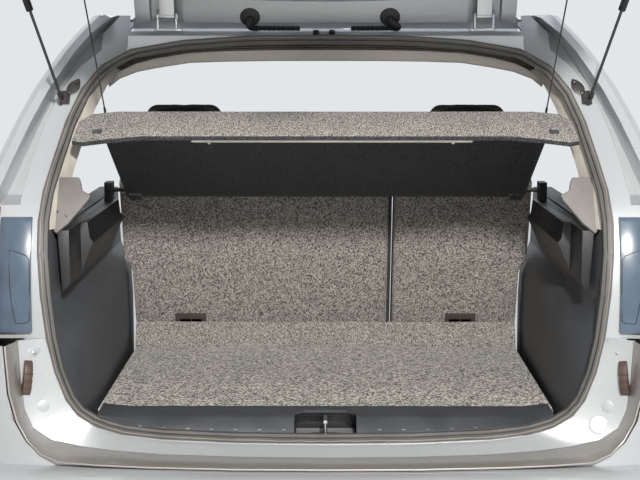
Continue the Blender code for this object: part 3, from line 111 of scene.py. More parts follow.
camera_data = bpy.data.cameras.new("rear_view")
camera_data.lens = CAMERA_LENS
camera_data.sensor_width = 36.0
camera = bpy.data.objects.new("rear_view", camera_data)
camera.location = CAMERA_PLACE
camera.rotation_euler = (math.pi / 2 - CAMERA_DOWN, 0.0, CAMERA_LEFT)
bpy.context.scene.collection.objects.link(camera)
bpy.context.scene.camera = camera
print("camera stands", round(-CAMERA_PLACE.y, 2), "m behind the cut edge")

# %% [markdown]
# ## Floor, world and lamps
# A pale floor and a pale world keep the picture plain. The bay is a deep dark box, and in it the raised
# shelf throws a clear shadow across the seat backs. So one fairly small key lamp stands behind the camera,
# high enough that the shelf's edge shades the upper half of the backs, and large weak lamps fill the rest.

# %% Studio
scene = bpy.context.scene
scene.view_settings.view_transform = "Standard"
FLOOR_SIZE = 14.0
FLOOR_DROP = 2 * MM
FLOOR_GLOW = 0.65


def make_floor():
    bm = bmesh.new()
    bmesh.ops.create_grid(bm, x_segments=1, y_segments=1, size=FLOOR_SIZE / 2)
    mesh = bpy.data.meshes.new("studio_floor")
    bm.to_mesh(mesh)
    floor = bpy.data.objects.new("studio_floor", mesh)
    floor.location = (0.0, -1.0, CAD_BOX[0].z - FLOOR_DROP)
    scene.collection.objects.link(floor)
    finish = bpy.data.materials.new("studio_floor")
    finish.use_nodes = True
    shader = finish.node_tree.nodes["Principled BSDF"]
    shader.inputs["Base Color"].default_value = (0.74, 0.75, 0.76, 1.0)
    shader.inputs["Roughness"].default_value = 0.9
    nodes, links = finish.node_tree.nodes, finish.node_tree.links
    pale = nodes.new("ShaderNodeEmission")
    pale.inputs["Color"].default_value = (0.80, 0.82, 0.84, 1.0)
    path = nodes.new("ShaderNodeLightPath")
    half = nodes.new("ShaderNodeMath")
    half.operation = "MULTIPLY"
    half.inputs[1].default_value = FLOOR_GLOW
    mix = nodes.new("ShaderNodeMixShader")
    links.new(path.outputs["Is Camera Ray"], half.inputs[0])
    links.new(half.outputs[0], mix.inputs[0])
    links.new(shader.outputs[0], mix.inputs[1])
    links.new(pale.outputs[0], mix.inputs[2])
    links.new(mix.outputs[0], nodes["Material Output"].inputs["Surface"])
    mesh.materials.append(finish)


def make_world():
    world = bpy.data.worlds.new("studio")
    scene.world = world
    world.use_nodes = True
    nodes, links = world.node_tree.nodes, world.node_tree.links
    nodes.clear()
    out = nodes.new("ShaderNodeOutputWorld")
    mix = nodes.new("ShaderNodeMixShader")
    path = nodes.new("ShaderNodeLightPath")
    seen = nodes.new("ShaderNodeMath")
    seen.operation = "MAXIMUM"
    through = nodes.new("ShaderNodeMath")
    through.operation = "MAXIMUM"
    dim = nodes.new("ShaderNodeBackground")
    dim.inputs["Color"].default_value = (0.86, 0.91, 1.0, 1.0)
    dim.inputs["Strength"].default_value = 0.055
    bright = nodes.new("ShaderNodeBackground")
    bright.inputs["Color"].default_value = (0.90, 0.93, 0.96, 1.0)
    bright.inputs["Strength"].default_value = 0.85
    links.new(path.outputs["Is Camera Ray"], seen.inputs[0])
    links.new(path.outputs["Is Glossy Ray"], seen.inputs[1])
    links.new(seen.outputs[0], through.inputs[0])
    links.new(path.outputs["Is Transmission Ray"], through.inputs[1])
    links.new(through.outputs[0], mix.inputs[0])
    links.new(dim.outputs[0], mix.inputs[1])
    links.new(bright.outputs[0], mix.inputs[2])
    links.new(mix.outputs[0], out.inputs["Surface"])


def make_lamp(name, place, target, size, power, color=(1.0, 0.98, 0.95)):
    data = bpy.data.lights.new(name, "AREA")
    data.shape = "SQUARE"
    data.size = size
    data.energy = power
    data.color = color
    lamp = bpy.data.objects.new(name, data)
    lamp.location = place
    lamp.rotation_euler = (Vector(target) - Vector(place)).to_track_quat("-Z", "Y").to_euler()
    scene.collection.objects.link(lamp)
    return lamp


BAY_CENTRE = at(0.0, 0.45, 0.85)
make_floor()
make_world()
make_lamp("key_lamp", at(0.45, -3.9, 3.03), at(0.0, 0.40, 1.00), 0.30, 232.0, (1.0, 0.965, 0.92))
make_lamp("fill_lamp", at(2.2, -2.6, 1.5), BAY_CENTRE, 2.2, 5.0, (0.70, 0.85, 1.0))
header_lamp = make_lamp("header_lamp", at(0.0, -1.9, 2.0), at(0.0, 0.33, 1.44), 0.25, 8.0, (1.0, 0.96, 0.90))
header_lamp.visible_camera = False
make_lamp("top_lamp", at(0.0, 1.2, 3.6), at(0.0, 0.4, 1.2), 2.4, 26.0, (0.88, 0.94, 1.0))
make_lamp("front_lamp", at(0.0, 4.2, 2.2), at(0.0, 0.6, 1.1), 2.0, 9.0, (0.88, 0.94, 1.0))

# %% [markdown]
# ## Finishes
# Each finish starts from one Principled shader, and its colour, roughness and bump are driven by
# procedural noise in object coordinates, so the grain has a real size in millimetres.

# %% Material helpers
FINISHES = {}


def new_finish(name, color, roughness, metallic=0.0):
    finish = bpy.data.materials.new(name)
    finish.use_nodes = True
    nodes = finish.node_tree.nodes
    shader = nodes["Principled BSDF"]
    shader.inputs["Base Color"].default_value = (*color, 1.0)
    shader.inputs["Roughness"].default_value = roughness
    shader.inputs["Metallic"].default_value = metallic
    FINISHES[name] = finish
    return finish, nodes, finish.node_tree.links, shader


def object_noise(nodes, links, scale, detail=2.0, rough=0.6):
    place = nodes.new("ShaderNodeTexCoord")
    noise = nodes.new("ShaderNodeTexNoise")
    noise.inputs["Scale"].default_value = scale
    noise.inputs["Detail"].default_value = detail
    noise.inputs["Roughness"].default_value = rough
    links.new(place.outputs["Object"], noise.inputs["Vector"])
    return noise


def object_cells(nodes, links, scale, feature="F1"):
    place = nodes.new("ShaderNodeTexCoord")
    cells = nodes.new("ShaderNodeTexVoronoi")
    cells.feature = feature
    cells.inputs["Scale"].default_value = scale
    links.new(place.outputs["Object"], cells.inputs["Vector"])
    return cells


def ramp(nodes, links, source, stops):
    scale = nodes.new("ShaderNodeValToRGB")
    first, last = scale.color_ramp.elements[0], scale.color_ramp.elements[-1]
    first.position, first.color = stops[0][0], (*stops[0][1], 1.0)
    last.position, last.color = stops[-1][0], (*stops[-1][1], 1.0)
    for place, color in stops[1:-1]:
        element = scale.color_ramp.elements.new(place)
        element.color = (*color, 1.0)
    links.new(source, scale.inputs["Fac"])
    return scale


def bump(nodes, links, shader, source, height, strength=1.0):
    relief = nodes.new("ShaderNodeBump")
    relief.inputs["Strength"].default_value = strength
    relief.inputs["Distance"].default_value = height
    links.new(source, relief.inputs["Height"])
    links.new(relief.outputs["Normal"], shader.inputs["Normal"])
    return relief


def vary(nodes, links, shader, source, socket, low, high):
    span = nodes.new("ShaderNodeMapRange")
    span.inputs["To Min"].default_value = low
    span.inputs["To Max"].default_value = high
    links.new(source, span.inputs["Value"])
    links.new(span.outputs["Result"], shader.inputs[socket])


# %% [markdown]
# ### Painted metal
# Metallic silver is a grey base with fine flakes under clear lacquer. The flakes are tiny cells whose
# brightness differs a little; the lacquer is the shader's coat.

# %% Silver paint
def silver_paint(name, color):
    finish, nodes, links, shader = new_finish(name, color, 0.36, 0.32)
    flakes = object_cells(nodes, links, 900.0)
    shade = ramp(nodes, links, flakes.outputs["Distance"],
                 [(0.0, tuple(c * 1.12 for c in color)), (0.5, color), (1.0, tuple(c * 0.86 for c in color))])
    links.new(shade.outputs["Color"], shader.inputs["Base Color"])
    peel = object_noise(nodes, links, 90.0, 1.0)
    bump(nodes, links, shader, peel.outputs["Fac"], 0.00012, 0.35)
    dust = object_noise(nodes, links, 7.0, 5.0)
    vary(nodes, links, shader, dust.outputs["Fac"], "Roughness", 0.28, 0.46)
    shader.inputs["Coat Weight"].default_value = 0.7
    shader.inputs["Coat Roughness"].default_value = 0.06
    return finish


PAINT = silver_paint("silver_paint", (0.50, 0.52, 0.54))
# The step wears the same silver, darker and browner: painted shade, where the step faces away from the light
# and mirrors the dark ground.
SHADED_STEP_PAINT = silver_paint("step_silver_with_painted_shade", (0.36, 0.34, 0.315))


# %% [markdown]
# ### Felt, cloth and moulded plastic
# The floor, shelf and seat backs wear needled felt in salt and pepper: pale fibres on a dark ground,
# a few millimetres across. Moulded trims have a fine leather-like grain made of small cells.

# %% Felt
def felt(name, dark, pale, scale=330.0, fuzz=0.0011):
    middle = tuple((a + b) * 0.42 for a, b in zip(dark, pale))
    finish, nodes, links, shader = new_finish(name, middle, 0.95)
    fibres = object_noise(nodes, links, scale, 3.0, 0.75)
    speckle = ramp(nodes, links, fibres.outputs["Fac"], [(0.42, dark), (0.5, middle), (0.58, pale)])
    drift = object_noise(nodes, links, 9.0, 3.0, 0.6)
    tone = ramp(nodes, links, drift.outputs["Fac"], [(0.3, (0.93, 0.93, 0.93)), (0.7, (1.05, 1.045, 1.04))])
    blend = nodes.new("ShaderNodeMix")
    blend.data_type = "RGBA"
    blend.blend_type = "MULTIPLY"
    blend.inputs["Factor"].default_value = 1.0
    links.new(speckle.outputs["Color"], blend.inputs["A"])
    links.new(tone.outputs["Color"], blend.inputs["B"])
    links.new(blend.outputs["Result"], shader.inputs["Base Color"])
    bump(nodes, links, shader, fibres.outputs["Fac"], fuzz, 0.8)
    shader.inputs["Sheen Weight"].default_value = 0.15
    shader.inputs["Specular IOR Level"].default_value = 0.2
    return finish


CARPET = felt("salt_and_pepper_felt", (0.022, 0.020, 0.018), (0.60, 0.565, 0.53), 420.0)
FLOOR_FELT = felt("floor_felt", (0.010, 0.009, 0.008), (0.86, 0.82, 0.765), 205.0, 0.0016)
# A darker copy of the felt: painted shade, on faces and in gaps that the lamps don't reach.
SHADE_DARK_FELT = felt("felt_with_painted_shade", (0.016, 0.017, 0.019), (0.085, 0.088, 0.094))
# The lining's edge is the headliner's felt in a paler copy: painted light on a part that the header shades.
LIT_LINING_FELT = felt("lining_edge_felt_with_painted_light", (0.74, 0.695, 0.62), (0.86, 0.82, 0.75), 500.0, 0.0005)
HEADLINER = felt("cream_headliner", (0.52, 0.49, 0.43), (0.68, 0.65, 0.58), 500.0, 0.0005)


# %% Moulded plastic and rubber
def moulded(name, color, roughness=0.55, grain=650.0, depth=0.00025):
    finish, nodes, links, shader = new_finish(name, color, roughness)
    cells = object_cells(nodes, links, grain)
    bump(nodes, links, shader, cells.outputs["Distance"], depth, 0.7)
    handling = object_noise(nodes, links, 14.0, 4.0)
    vary(nodes, links, shader, handling.outputs["Fac"], "Roughness", roughness - 0.08, roughness + 0.1)
    wear = ramp(nodes, links, handling.outputs["Fac"],
                [(0.35, tuple(c * 0.85 for c in color)),
                 (0.7, tuple(min(c * 1.15 + 0.002, 1.0) for c in color))])
    links.new(wear.outputs["Color"], shader.inputs["Base Color"])
    return finish


NAVY_TRIM = moulded("dark_slate_trim", (0.072, 0.078, 0.088), 0.55)
CREAM_TRIM = moulded("cream_pillar_trim", (0.56, 0.53, 0.47), 0.55)
TAUPE_TRIM = moulded("taupe_corner_trim", (0.20, 0.185, 0.18), 0.55)
RAIL_GREY = moulded("rail_grey", (0.27, 0.265, 0.24), 0.5)
SLATE_TRIM = moulded("slate_sill_trim", (0.062, 0.068, 0.078), 0.48)
BLACK_TRIM = moulded("black_plastic", (0.016, 0.016, 0.018), 0.45)
RUBBER = moulded("seal_rubber", (0.105, 0.102, 0.098), 0.5, 1400.0, 0.0001)
# A paler rubber, partly a painted highlight: on the seal's rib it stands for the light along its crest.
PALE_RUBBER_AND_HIGHLIGHT = moulded("pale_rib_rubber_and_painted_highlight", (0.235, 0.205, 0.175), 0.4, 1400.0, 0.0001)
BEZEL_GLOSS = moulded("lamp_cover_gloss", (0.085, 0.122, 0.170), 0.22, 1800.0, 0.00003)
WEDGE_BROWN = moulded("buffer_brown", (0.085, 0.055, 0.042), 0.45)
UNDERSEAL = moulded("underseal", (0.030, 0.030, 0.031), 0.8, 260.0, 0.0008)
TETHER_BROWN = moulded("tether_bezel", (0.075, 0.062, 0.052), 0.4)


# %% [markdown]
# ### Metal, glass and cloth
# The struts and fittings are plated steel with a faint drawn grain. The windows are dark tinted glass,
# thin enough to see through, and the cord and seat cloth are woven.

# %% Steel, glass, lens and cloth
def plated_steel(name, color=(0.56, 0.57, 0.58), roughness=0.34):
    finish, nodes, links, shader = new_finish(name, color, roughness, 1.0)
    drawn = object_noise(nodes, links, 240.0, 2.0)
    bump(nodes, links, shader, drawn.outputs["Fac"], 0.0001, 0.3)
    vary(nodes, links, shader, drawn.outputs["Fac"], "Roughness", roughness - 0.1, roughness + 0.12)
    return finish


def tinted_glass(name, color, clear):
    finish, nodes, links, shader = new_finish(name, color, 0.03)
    smear = object_noise(nodes, links, 5.0, 3.0)
    vary(nodes, links, shader, smear.outputs["Fac"], "Roughness", 0.02, 0.07)
    shader.inputs["Transmission Weight"].default_value = clear
    shader.inputs["IOR"].default_value = 1.1
    return finish


def woven(name, dark, pale, pitch=0.0025, roughness=0.85):
    finish, nodes, links, shader = new_finish(name, dark, roughness)
    place = nodes.new("ShaderNodeTexCoord")
    waves = []
    for axis in ("X", "Z"):
        wave = nodes.new("ShaderNodeTexWave")
        wave.bands_direction = axis
        wave.inputs["Scale"].default_value = 1.0 / pitch / 6.2832 * 2.0
        wave.inputs["Distortion"].default_value = 0.6
        links.new(place.outputs["Object"], wave.inputs["Vector"])
        waves.append(wave)
    cross = nodes.new("ShaderNodeMath")
    cross.operation = "MULTIPLY"
    links.new(waves[0].outputs["Fac"], cross.inputs[0])
    links.new(waves[1].outputs["Fac"], cross.inputs[1])
    shade = ramp(nodes, links, cross.outputs[0], [(0.1, dark), (0.8, pale)])
    links.new(shade.outputs["Color"], shader.inputs["Base Color"])
    bump(nodes, links, shader, cross.outputs[0], 0.0004, 0.8)
    shader.inputs["Sheen Weight"].default_value = 0.2
    return finish


STEEL = plated_steel("plated_steel")
ROD_STEEL = plated_steel("strut_rod_steel", (0.085, 0.082, 0.085), 0.3)
FOOT_STEEL = plated_steel("strut_foot_steel", (0.12, 0.112, 0.108), 0.38)
GLASS = tinted_glass("tinted_glass", (0.34, 0.38, 0.37), 0.85)
LENS = tinted_glass("red_lens", (0.45, 0.03, 0.03), 0.25)
AMBER = moulded("amber_lens", (0.50, 0.17, 0.05), 0.18, 1500.0, 0.00005)
SEAT_CLOTH = woven("dark_seat_cloth", (0.012, 0.012, 0.014), (0.050, 0.050, 0.055))
CORD_WEAVE = woven("cord_weave", (0.010, 0.010, 0.011), (0.045, 0.045, 0.05), 0.0012)
print("finishes:", ", ".join(sorted(FINISHES)))

# %% [markdown]
# ## Dress the frame's own pieces
# Most pieces keep their shape. The import gives every triangle its own corners, so a Weld brings them
# together, a small Bevel rounds the edges that a mould or a press would round, and an Edge Split keeps the
# real corners crisp while the rest shades smooth.

# %% Dress a node
SMOOTH_ANGLE = math.radians(32.0)


def dress(node, finish, edge=0.0, segments=2, smooth=SMOOTH_ANGLE):
    piece = NODES[node]
    mesh = piece.data
    mesh.materials.clear()
    mesh.materials.append(finish)
    if "custom_normal" in mesh.attributes:
        mesh.attributes.remove(mesh.attributes["custom_normal"])
    mesh.shade_smooth()
    weld = piece.modifiers.new("weld", "WELD")
    weld.merge_threshold = 0.00002
    if edge:
        rounding = piece.modifiers.new("rounding", "BEVEL")
        rounding.width = edge
        rounding.segments = segments
        rounding.limit_method = "ANGLE"
        rounding.angle_limit = math.radians(35.0)
    split = piece.modifiers.new("crisp_edges", "EDGE_SPLIT")
    split.split_angle = smooth
    return piece


SIDES = {"left": -1, "right": 1}
PLAIN_DRESS = [
    # node, finish, edge radius
    ("roof_header", PAINT, 0.0),
    ("rear_panel", PAINT, 0.0),
    ("rear_crossmember", UNDERSEAL, 0.0),
    ("bumper_cover", PAINT, 0.0),
    ("bumper_step", SHADED_STEP_PAINT, 0.0015),
    ("floor_pan", UNDERSEAL, 0.0),
    ("floor_flap", CARPET, 0.002),
    ("load_floor", FLOOR_FELT, 0.002),
    ("parcel_shelf", CARPET, 0.0015),
    ("headliner", HEADLINER, 0.002),
    ("sill_trim", SLATE_TRIM, 0.0012),
    ("striker", STEEL, 0.0005),
    ("striker_floor", PAINT, 0.0),
    ("underfloor_tray", BLACK_TRIM, 0.001),
    ("weatherstrip", RUBBER, 0.0),
    ("tailgate_shell", PAINT, 0.0),
    ("tailgate_glass", GLASS, 0.0),
    ("tailgate_spoiler", PAINT, 0.002),
    ("tailgate_trim", BLACK_TRIM, 0.002),
    ("tailgate_latch", STEEL, 0.0008),
]
PAIR_DRESS = [
    ("body_side", PAINT, 0.0),
    ("lamp_bezel", BEZEL_GLOSS, 0.002),
    ("tail_lamp", LENS, 0.003),
    ("quarter_glass", GLASS, 0.0),
    ("wheelhouse", UNDERSEAL, 0.0),
    ("shelf_rest", BLACK_TRIM, 0.002),
    ("side_trim", NAVY_TRIM, 0.003),
    ("pillar_trim", CREAM_TRIM, 0.002),
    ("hinge_bracket", STEEL, 0.0008),
    ("hinge_arm", STEEL, 0.0008),
    ("strut_foot", FOOT_STEEL, 0.0008),
    ("strut_cylinder", BLACK_TRIM, 0.001),
    ("strut_rod", ROD_STEEL, 0.0004),
    ("tether", TETHER_BROWN, 0.001),
    ("wiring_boot", BLACK_TRIM, 0.0),
]
for node, finish, edge in PLAIN_DRESS:
    dress(node, finish, edge)
for stem, finish, edge in PAIR_DRESS:
    for word in SIDES:
        dress(f"{stem}_{word}", finish, edge)
print("dressed", len(PLAIN_DRESS) + 2 * len(PAIR_DRESS), "pieces")

# %% Two tones on the shelf
# The shelf's downward faces get a darker copy of the felt: painted shade on the hidden underside, which faces
# away from the lamps.
def second_tone(node, finish, belongs):
    """Gives the node's faces that belong to it a second finish."""
    mesh = NODES[node].data
    mesh.materials.append(finish)
    for face in mesh.polygons:
        face.material_index = 1 if belongs(face) else 0


second_tone("parcel_shelf", SHADE_DARK_FELT, lambda face: face.normal.z < -0.25)

# %% [markdown]
# ## Places and small shapes
# Small fittings sit on larger pieces. Each place is found by looking from the camera through a pixel of the
# 640 by 480 picture until the line meets the piece that carries the fitting, so it lies on that piece from
# every side. A few shape makers, turned, extruded and swept, cover almost every fitting.

# %% Find a place on a piece
from mathutils.bvhtree import BVHTree

PICTURE_WIDE = 640
PICTURE_HIGH = 480
BODY_OF = {node: body for body, nodes in frame["record"]["behaviour"]["bodies"].items() for node in nodes}
SURFACES = {}


def surface(node):
    """The node's faces, ready to be asked where a line meets them."""
    if node not in SURFACES:
        mesh = NODES[node].data
        points = [vertex.co for vertex in mesh.vertices]
        SURFACES[node] = BVHTree.FromPolygons(points, [face.vertices for face in mesh.polygons])
    return SURFACES[node]


def sight(px, py):
    """The direction in which the camera sees a pixel."""
    half = PICTURE_WIDE / 2
    reach = camera_data.sensor_width / 2 / CAMERA_LENS
    flat = Vector(((px - half) / half * reach, (PICTURE_HIGH / 2 - py) / half * reach, -1.0))
    return (camera.rotation_euler.to_matrix() @ flat).normalized()


def spot(px, py, *nodes):
    """Where the line through a pixel first meets one of the nodes: point, outward normal, node."""
    way = sight(px, py)
    hits = []
    for node in nodes:
        point, normal, _, far = surface(node).ray_cast(CAMERA_PLACE, way)
        if point is not None:
            hits.append((far, point, -normal if normal.dot(way) > 0 else normal, node))
    if not hits:
        print("nothing of", nodes, "at pixel", px, py)
        return None
    return min(hits, key=lambda hit: hit[0])[1:]


def facing(point, normal, up=(0.0, 0.0, 1.0)):
    """A place whose Z points along the normal and whose Y points as far up as it can."""
    across = Vector(up).cross(normal).normalized()
    turn = Matrix((across, normal.cross(across), normal)).transposed()
    return Matrix.Translation(point) @ turn.to_4x4()


# %% Shape makers
def turned(profile, sides=20):
    """A shape turned on its Z axis from a list of radius and height."""
    bm = bmesh.new()
    rings = []
    for radius, height in profile:
        count = sides if radius else 1
        turns = [2 * math.pi * k / sides for k in range(count)]
        rings.append([bm.verts.new((radius * math.cos(a), radius * math.sin(a), height)) for a in turns])
    for low, high in zip(rings, rings[1:]):
        for k in range(sides):
            after = (k + 1) % sides
            corners = [low[k % len(low)], low[after % len(low)], high[after % len(high)], high[k % len(high)]]
            corners = list(dict.fromkeys(corners))
            if len(corners) > 2:
                bm.faces.new(corners)
    return bm


def plate(outline, low, high):
    """A flat outline in X and Y, drawn out along Z."""
    bm = bmesh.new()
    bottom = [bm.verts.new((x, y, low)) for x, y in outline]
    top = [bm.verts.new((x, y, high)) for x, y in outline]
    bm.faces.new(list(reversed(bottom)))
    bm.faces.new(top)
    for k in range(len(outline)):
        after = (k + 1) % len(outline)
        bm.faces.new((bottom[k], bottom[after], top[after], top[k]))
    return bm


def soft_rectangle(wide, high, corner, steps=4):
    """An outline with round corners."""
    points = []
    for turn, (sx, sy) in enumerate(((1, 1), (-1, 1), (-1, -1), (1, -1))):
        for k in range(steps + 1):
            angle = math.pi / 2 * (turn + k / steps)
            points.append((sx * (wide / 2 - corner) + corner * math.cos(angle),
                           sy * (high / 2 - corner) + corner * math.sin(angle)))
    return points


def swept(points, radius, sides=10, closed=False):
    """A round bar along a path, of one radius or of one for each point."""
    points = [Vector(p) for p in points]
    bm = bmesh.new()
    rings = []
    side = None
    for k, here in enumerate(points):
        thick = radius[k] if isinstance(radius, list) else radius
        before = points[k - 1] if k or closed else here
        after = points[(k + 1) % len(points)] if k < len(points) - 1 or closed else here
        along = (after - before).normalized()
        if side is None:
            side = along.orthogonal().normalized()
        side = (side - along * side.dot(along)).normalized()
        over = along.cross(side)
        rings.append([bm.verts.new(here + thick * (math.cos(a) * side + math.sin(a) * over))
                      for a in (2 * math.pi * j / sides for j in range(sides))])
    pairs = list(zip(rings, rings[1:])) + ([(rings[-1], rings[0])] if closed else [])
    for low, high in pairs:
        for j in range(sides):
            after = (j + 1) % sides
            bm.faces.new((low[j], low[after], high[after], high[j]))
    if not closed:
        bm.faces.new(list(reversed(rings[0])))
        bm.faces.new(rings[-1])
    return bm


def lofted(rings):
    """A closed form through rings of points, one after the other, with flat ends."""
    bm = bmesh.new()
    made = [[bm.verts.new(point) for point in ring] for ring in rings]
    count = len(made[0])
    for low, high in zip(made, made[1:]):
        for k in range(count):
            after = (k + 1) % count
            bm.faces.new((low[k], low[after], high[after], high[k]))
    bm.faces.new(list(reversed(made[0])))
    bm.faces.new(made[-1])
    return bm


def hexagon(radius, level=0.0):
    """A bolt head's outline."""
    turns = [math.pi / 3 * k for k in range(6)]
    return [(radius * math.cos(turn), radius * math.sin(turn) + level) for turn in turns]


def together(*shapes):
    """Several shapes as one; each may come with a place."""
    bm = bmesh.new()
    for shape in shapes:
        shape, place = shape if isinstance(shape, tuple) else (shape, None)
        if place is not None:
            bmesh.ops.transform(shape, matrix=place, verts=shape.verts)
        part = bpy.data.meshes.new("part")
        shape.to_mesh(part)
        shape.free()
        bm.from_mesh(part)
        bpy.data.meshes.remove(part)
    return bm


def make_piece(name, bm, finish, body, place=None, rounding=0.0, segments=2):
    if place is not None:
        bmesh.ops.transform(bm, matrix=place, verts=bm.verts)
    bmesh.ops.recalc_face_normals(bm, faces=bm.faces)
    mesh = bpy.data.meshes.new(name)
    bm.to_mesh(mesh)
    bm.free()
    mesh.materials.append(finish)
    mesh.shade_smooth()
    piece = bpy.data.objects.new(name, mesh)
    scene.collection.objects.link(piece)
    if rounding:
        edge = piece.modifiers.new("rounding", "BEVEL")
        edge.width = rounding
        edge.segments = segments
        edge.limit_method = "ANGLE"
        edge.angle_limit = math.radians(35.0)
    split = piece.modifiers.new("crisp_edges", "EDGE_SPLIT")
    split.split_angle = SMOOTH_ANGLE
    if body:
        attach(piece, body)
    return piece


def mirrored(place):
    """The same place on the other side of the car."""
    flip = Matrix.Diagonal((-1.0, 1.0, 1.0, 1.0))
    return flip @ place @ flip


# %% [markdown]
# ## Seat backs
# A folding rear seat back is a foam pad on a steel board. Its rear face is the load bay's front wall: flat
# felt, folded round the edges. Its front is seat cloth, crowned by the foam and drawn in along two sewn
# channels. The pad is blown up by a short cloth simulation with the rear face held, and the channels are
# pressed in afterwards, because the remesh would lose them.

# %% Blow up a pad
def evaluated(piece):
    """The piece's mesh with its modifiers applied."""
    graph = bpy.context.evaluated_depsgraph_get()
    return bpy.data.meshes.new_from_object(piece.evaluated_get(graph))


def blown_pad(name, bm, voxel, cap, held, pressure=4.0, frames=20):
    """A closed form remeshed and swollen by cloth pressure; no point moves further than the cap."""
    bmesh.ops.recalc_face_normals(bm, faces=bm.faces)
    mesh = bpy.data.meshes.new(name)
    bm.to_mesh(mesh)
    bm.free()
    pad = bpy.data.objects.new(name, mesh)
    scene.collection.objects.link(pad)
    remesh = pad.modifiers.new("even_faces", "REMESH")
    remesh.mode = "VOXEL"
    remesh.voxel_size = voxel
    pad.data = evaluated(pad)
    pad.modifiers.clear()
    start = [v.co.copy() for v in pad.data.vertices]
    pins = pad.vertex_groups.new(name="held")
    pins.add([k for k, point in enumerate(start) if held(point)], 1.0, "REPLACE")
    cloth = pad.modifiers.new("swell", "CLOTH")
    cloth.settings.quality = 4
    cloth.settings.use_pressure = True
    cloth.settings.uniform_pressure_force = pressure
    cloth.settings.effector_weights.gravity = 0.0
    cloth.settings.vertex_group_mass = "held"
    cloth.point_cache.frame_start = 1
    cloth.point_cache.frame_end = frames
    for step in range(1, frames + 1):
        scene.frame_set(step)
    swollen = evaluated(pad)
    pad.modifiers.clear()
    for vertex, before in zip(swollen.vertices, start):
        move = vertex.co - before
        if move.length > cap:
            vertex.co = before + move * (cap / move.length)
    pad.data = swollen
    scene.frame_set(1)
    return pad


# %% Seat backs
SEAT_PIVOT = at(0.0, 0.915, 0.660)
SEAT_TURN = Matrix.Translation(SEAT_PIVOT) @ Matrix.Rotation(math.radians(20.0), 4, "X")
UPRIGHT = Matrix(((1, 0, 0, 0), (0, 0, 1, 0), (0, 1, 0, 0), (0, 0, 0, 1)))
SEAT_SPLIT_X = 0.165
SEAT_SPLIT_GAP = 0.006
SEAT_EDGE_IN = 0.001
SEAT_REAR = -0.0535
SEAT_FRONT = 0.042
SEAT_OUTLINE = {
    # outer edge from the bottom up, as half width and height along the back
    "low": (0.494, -0.042),
    "waist": (0.494, 0.260),
    "shoulder": (0.5124, 0.290),
    "high": (0.5124, 0.510),
    "top": (0.4624, 0.560),
}
TETHER_X = 0.349
TETHER_Z = 0.100


def seat_outline(side, split):
    edge = [(side * (x - SEAT_EDGE_IN), z) for x, z in SEAT_OUTLINE.values()]
    low, high = SEAT_OUTLINE["low"][1] + SEAT_EDGE_IN, SEAT_OUTLINE["top"][1] - SEAT_EDGE_IN
    edge[0] = (edge[0][0], low)
    edge[-1] = (edge[-1][0], high)
    return [(split, low)] + edge + [(split, high)]


def press_channel(pad, axis, level, wide, deep):
    """Draws a sewn channel into the front of a pad, across it at a level of one axis."""
    for vertex in pad.data.vertices:
        if vertex.co.y > 0.0:
            away = (vertex.co[axis] - level) / wide
            vertex.co.y -= deep * math.exp(-away * away) * min(vertex.co.y / SEAT_FRONT, 1.0)


def make_seat_back(word, side):
    split = SEAT_SPLIT_X + side * SEAT_SPLIT_GAP
    body = f"seat_back_{word}"
    bm = plate(seat_outline(side, split), SEAT_REAR, SEAT_FRONT)
    bmesh.ops.transform(bm, matrix=UPRIGHT, verts=bm.verts)
    pad = blown_pad(f"seat_pad_{word}", bm, 0.0085, 0.009,
                    lambda point: (point.y < SEAT_REAR + 0.010 or abs(point.x - split) < 0.014
                                   or abs(point.x) > SEAT_OUTLINE["low"][0] - 0.012))
    middle = (side * SEAT_OUTLINE["shoulder"][0] + split) / 2
    for offset in (-0.115, 0.115):
        press_channel(pad, 0, middle + offset, 0.010, 0.007)
    press_channel(pad, 2, 0.350, 0.010, 0.006)
    pocket = bpy.data.objects.new("pocket_cutter", bpy.data.meshes.new("pocket_cutter"))
    hollow = plate(soft_rectangle(0.058, 0.042, 0.004), -0.030, 0.030)
    place = Matrix.Translation((side * TETHER_X, SEAT_REAR, TETHER_Z)) @ Matrix.Rotation(math.pi / 2, 4, "X")
    bmesh.ops.transform(hollow, matrix=place, verts=hollow.verts)
    bmesh.ops.recalc_face_normals(hollow, faces=hollow.faces)
    hollow.to_mesh(pocket.data)
    hollow.free()
    scene.collection.objects.link(pocket)
    smooth = pad.modifiers.new("soften", "SMOOTH")
    smooth.factor = 0.5
    smooth.iterations = 3
    hole = pad.modifiers.new("pocket", "BOOLEAN")
    hole.operation = "DIFFERENCE"
    hole.object = pocket
    pad.data = evaluated(pad)
    pad.modifiers.clear()
    bpy.data.objects.remove(pocket)
    pad.data.materials.clear()
    for finish in (CARPET, SEAT_CLOTH):
        pad.data.materials.append(finish)
    for face in pad.data.polygons:
        inside = abs(face.center.x - side * TETHER_X) < 0.0295 and abs(face.center.z - TETHER_Z) < 0.0215
        rear = face.center.y < -0.030 and not (inside and face.center.y > SEAT_REAR + 0.003)
        face.material_index = 0 if rear else 1
        face.use_smooth = True
    pad.matrix_world = SEAT_TURN
    split_edges = pad.modifiers.new("crisp_edges", "EDGE_SPLIT")
    split_edges.split_angle = math.radians(50.0)
    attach(pad, body)
    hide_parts(body)
    return pad


for word, side in SIDES.items():
    pad = make_seat_back(word, side)
    print("seat pad", word, "has", len(pad.data.polygons), "faces")

# %% Lip in the split
# The wider back carries a soft lip along the split, so no light shows between the two. Its dark felt is
# painted shade for the gap.
SPLIT_LIP_LINE = [
    # half width, depth through the back
    (0.1612, -0.046),
    (0.1650, -0.046),
    (0.1662, -0.040),
    (0.1662, 0.034),
    (0.1650, 0.040),
    (0.1560, 0.040),
    (0.1560, -0.046),
]
split_lip = plate(SPLIT_LIP_LINE, SEAT_OUTLINE["low"][1] + 0.008, SEAT_OUTLINE["top"][1] - 0.012)
make_piece("split_lip", split_lip, SHADE_DARK_FELT, "seat_back_left", SEAT_TURN, 0.0008)

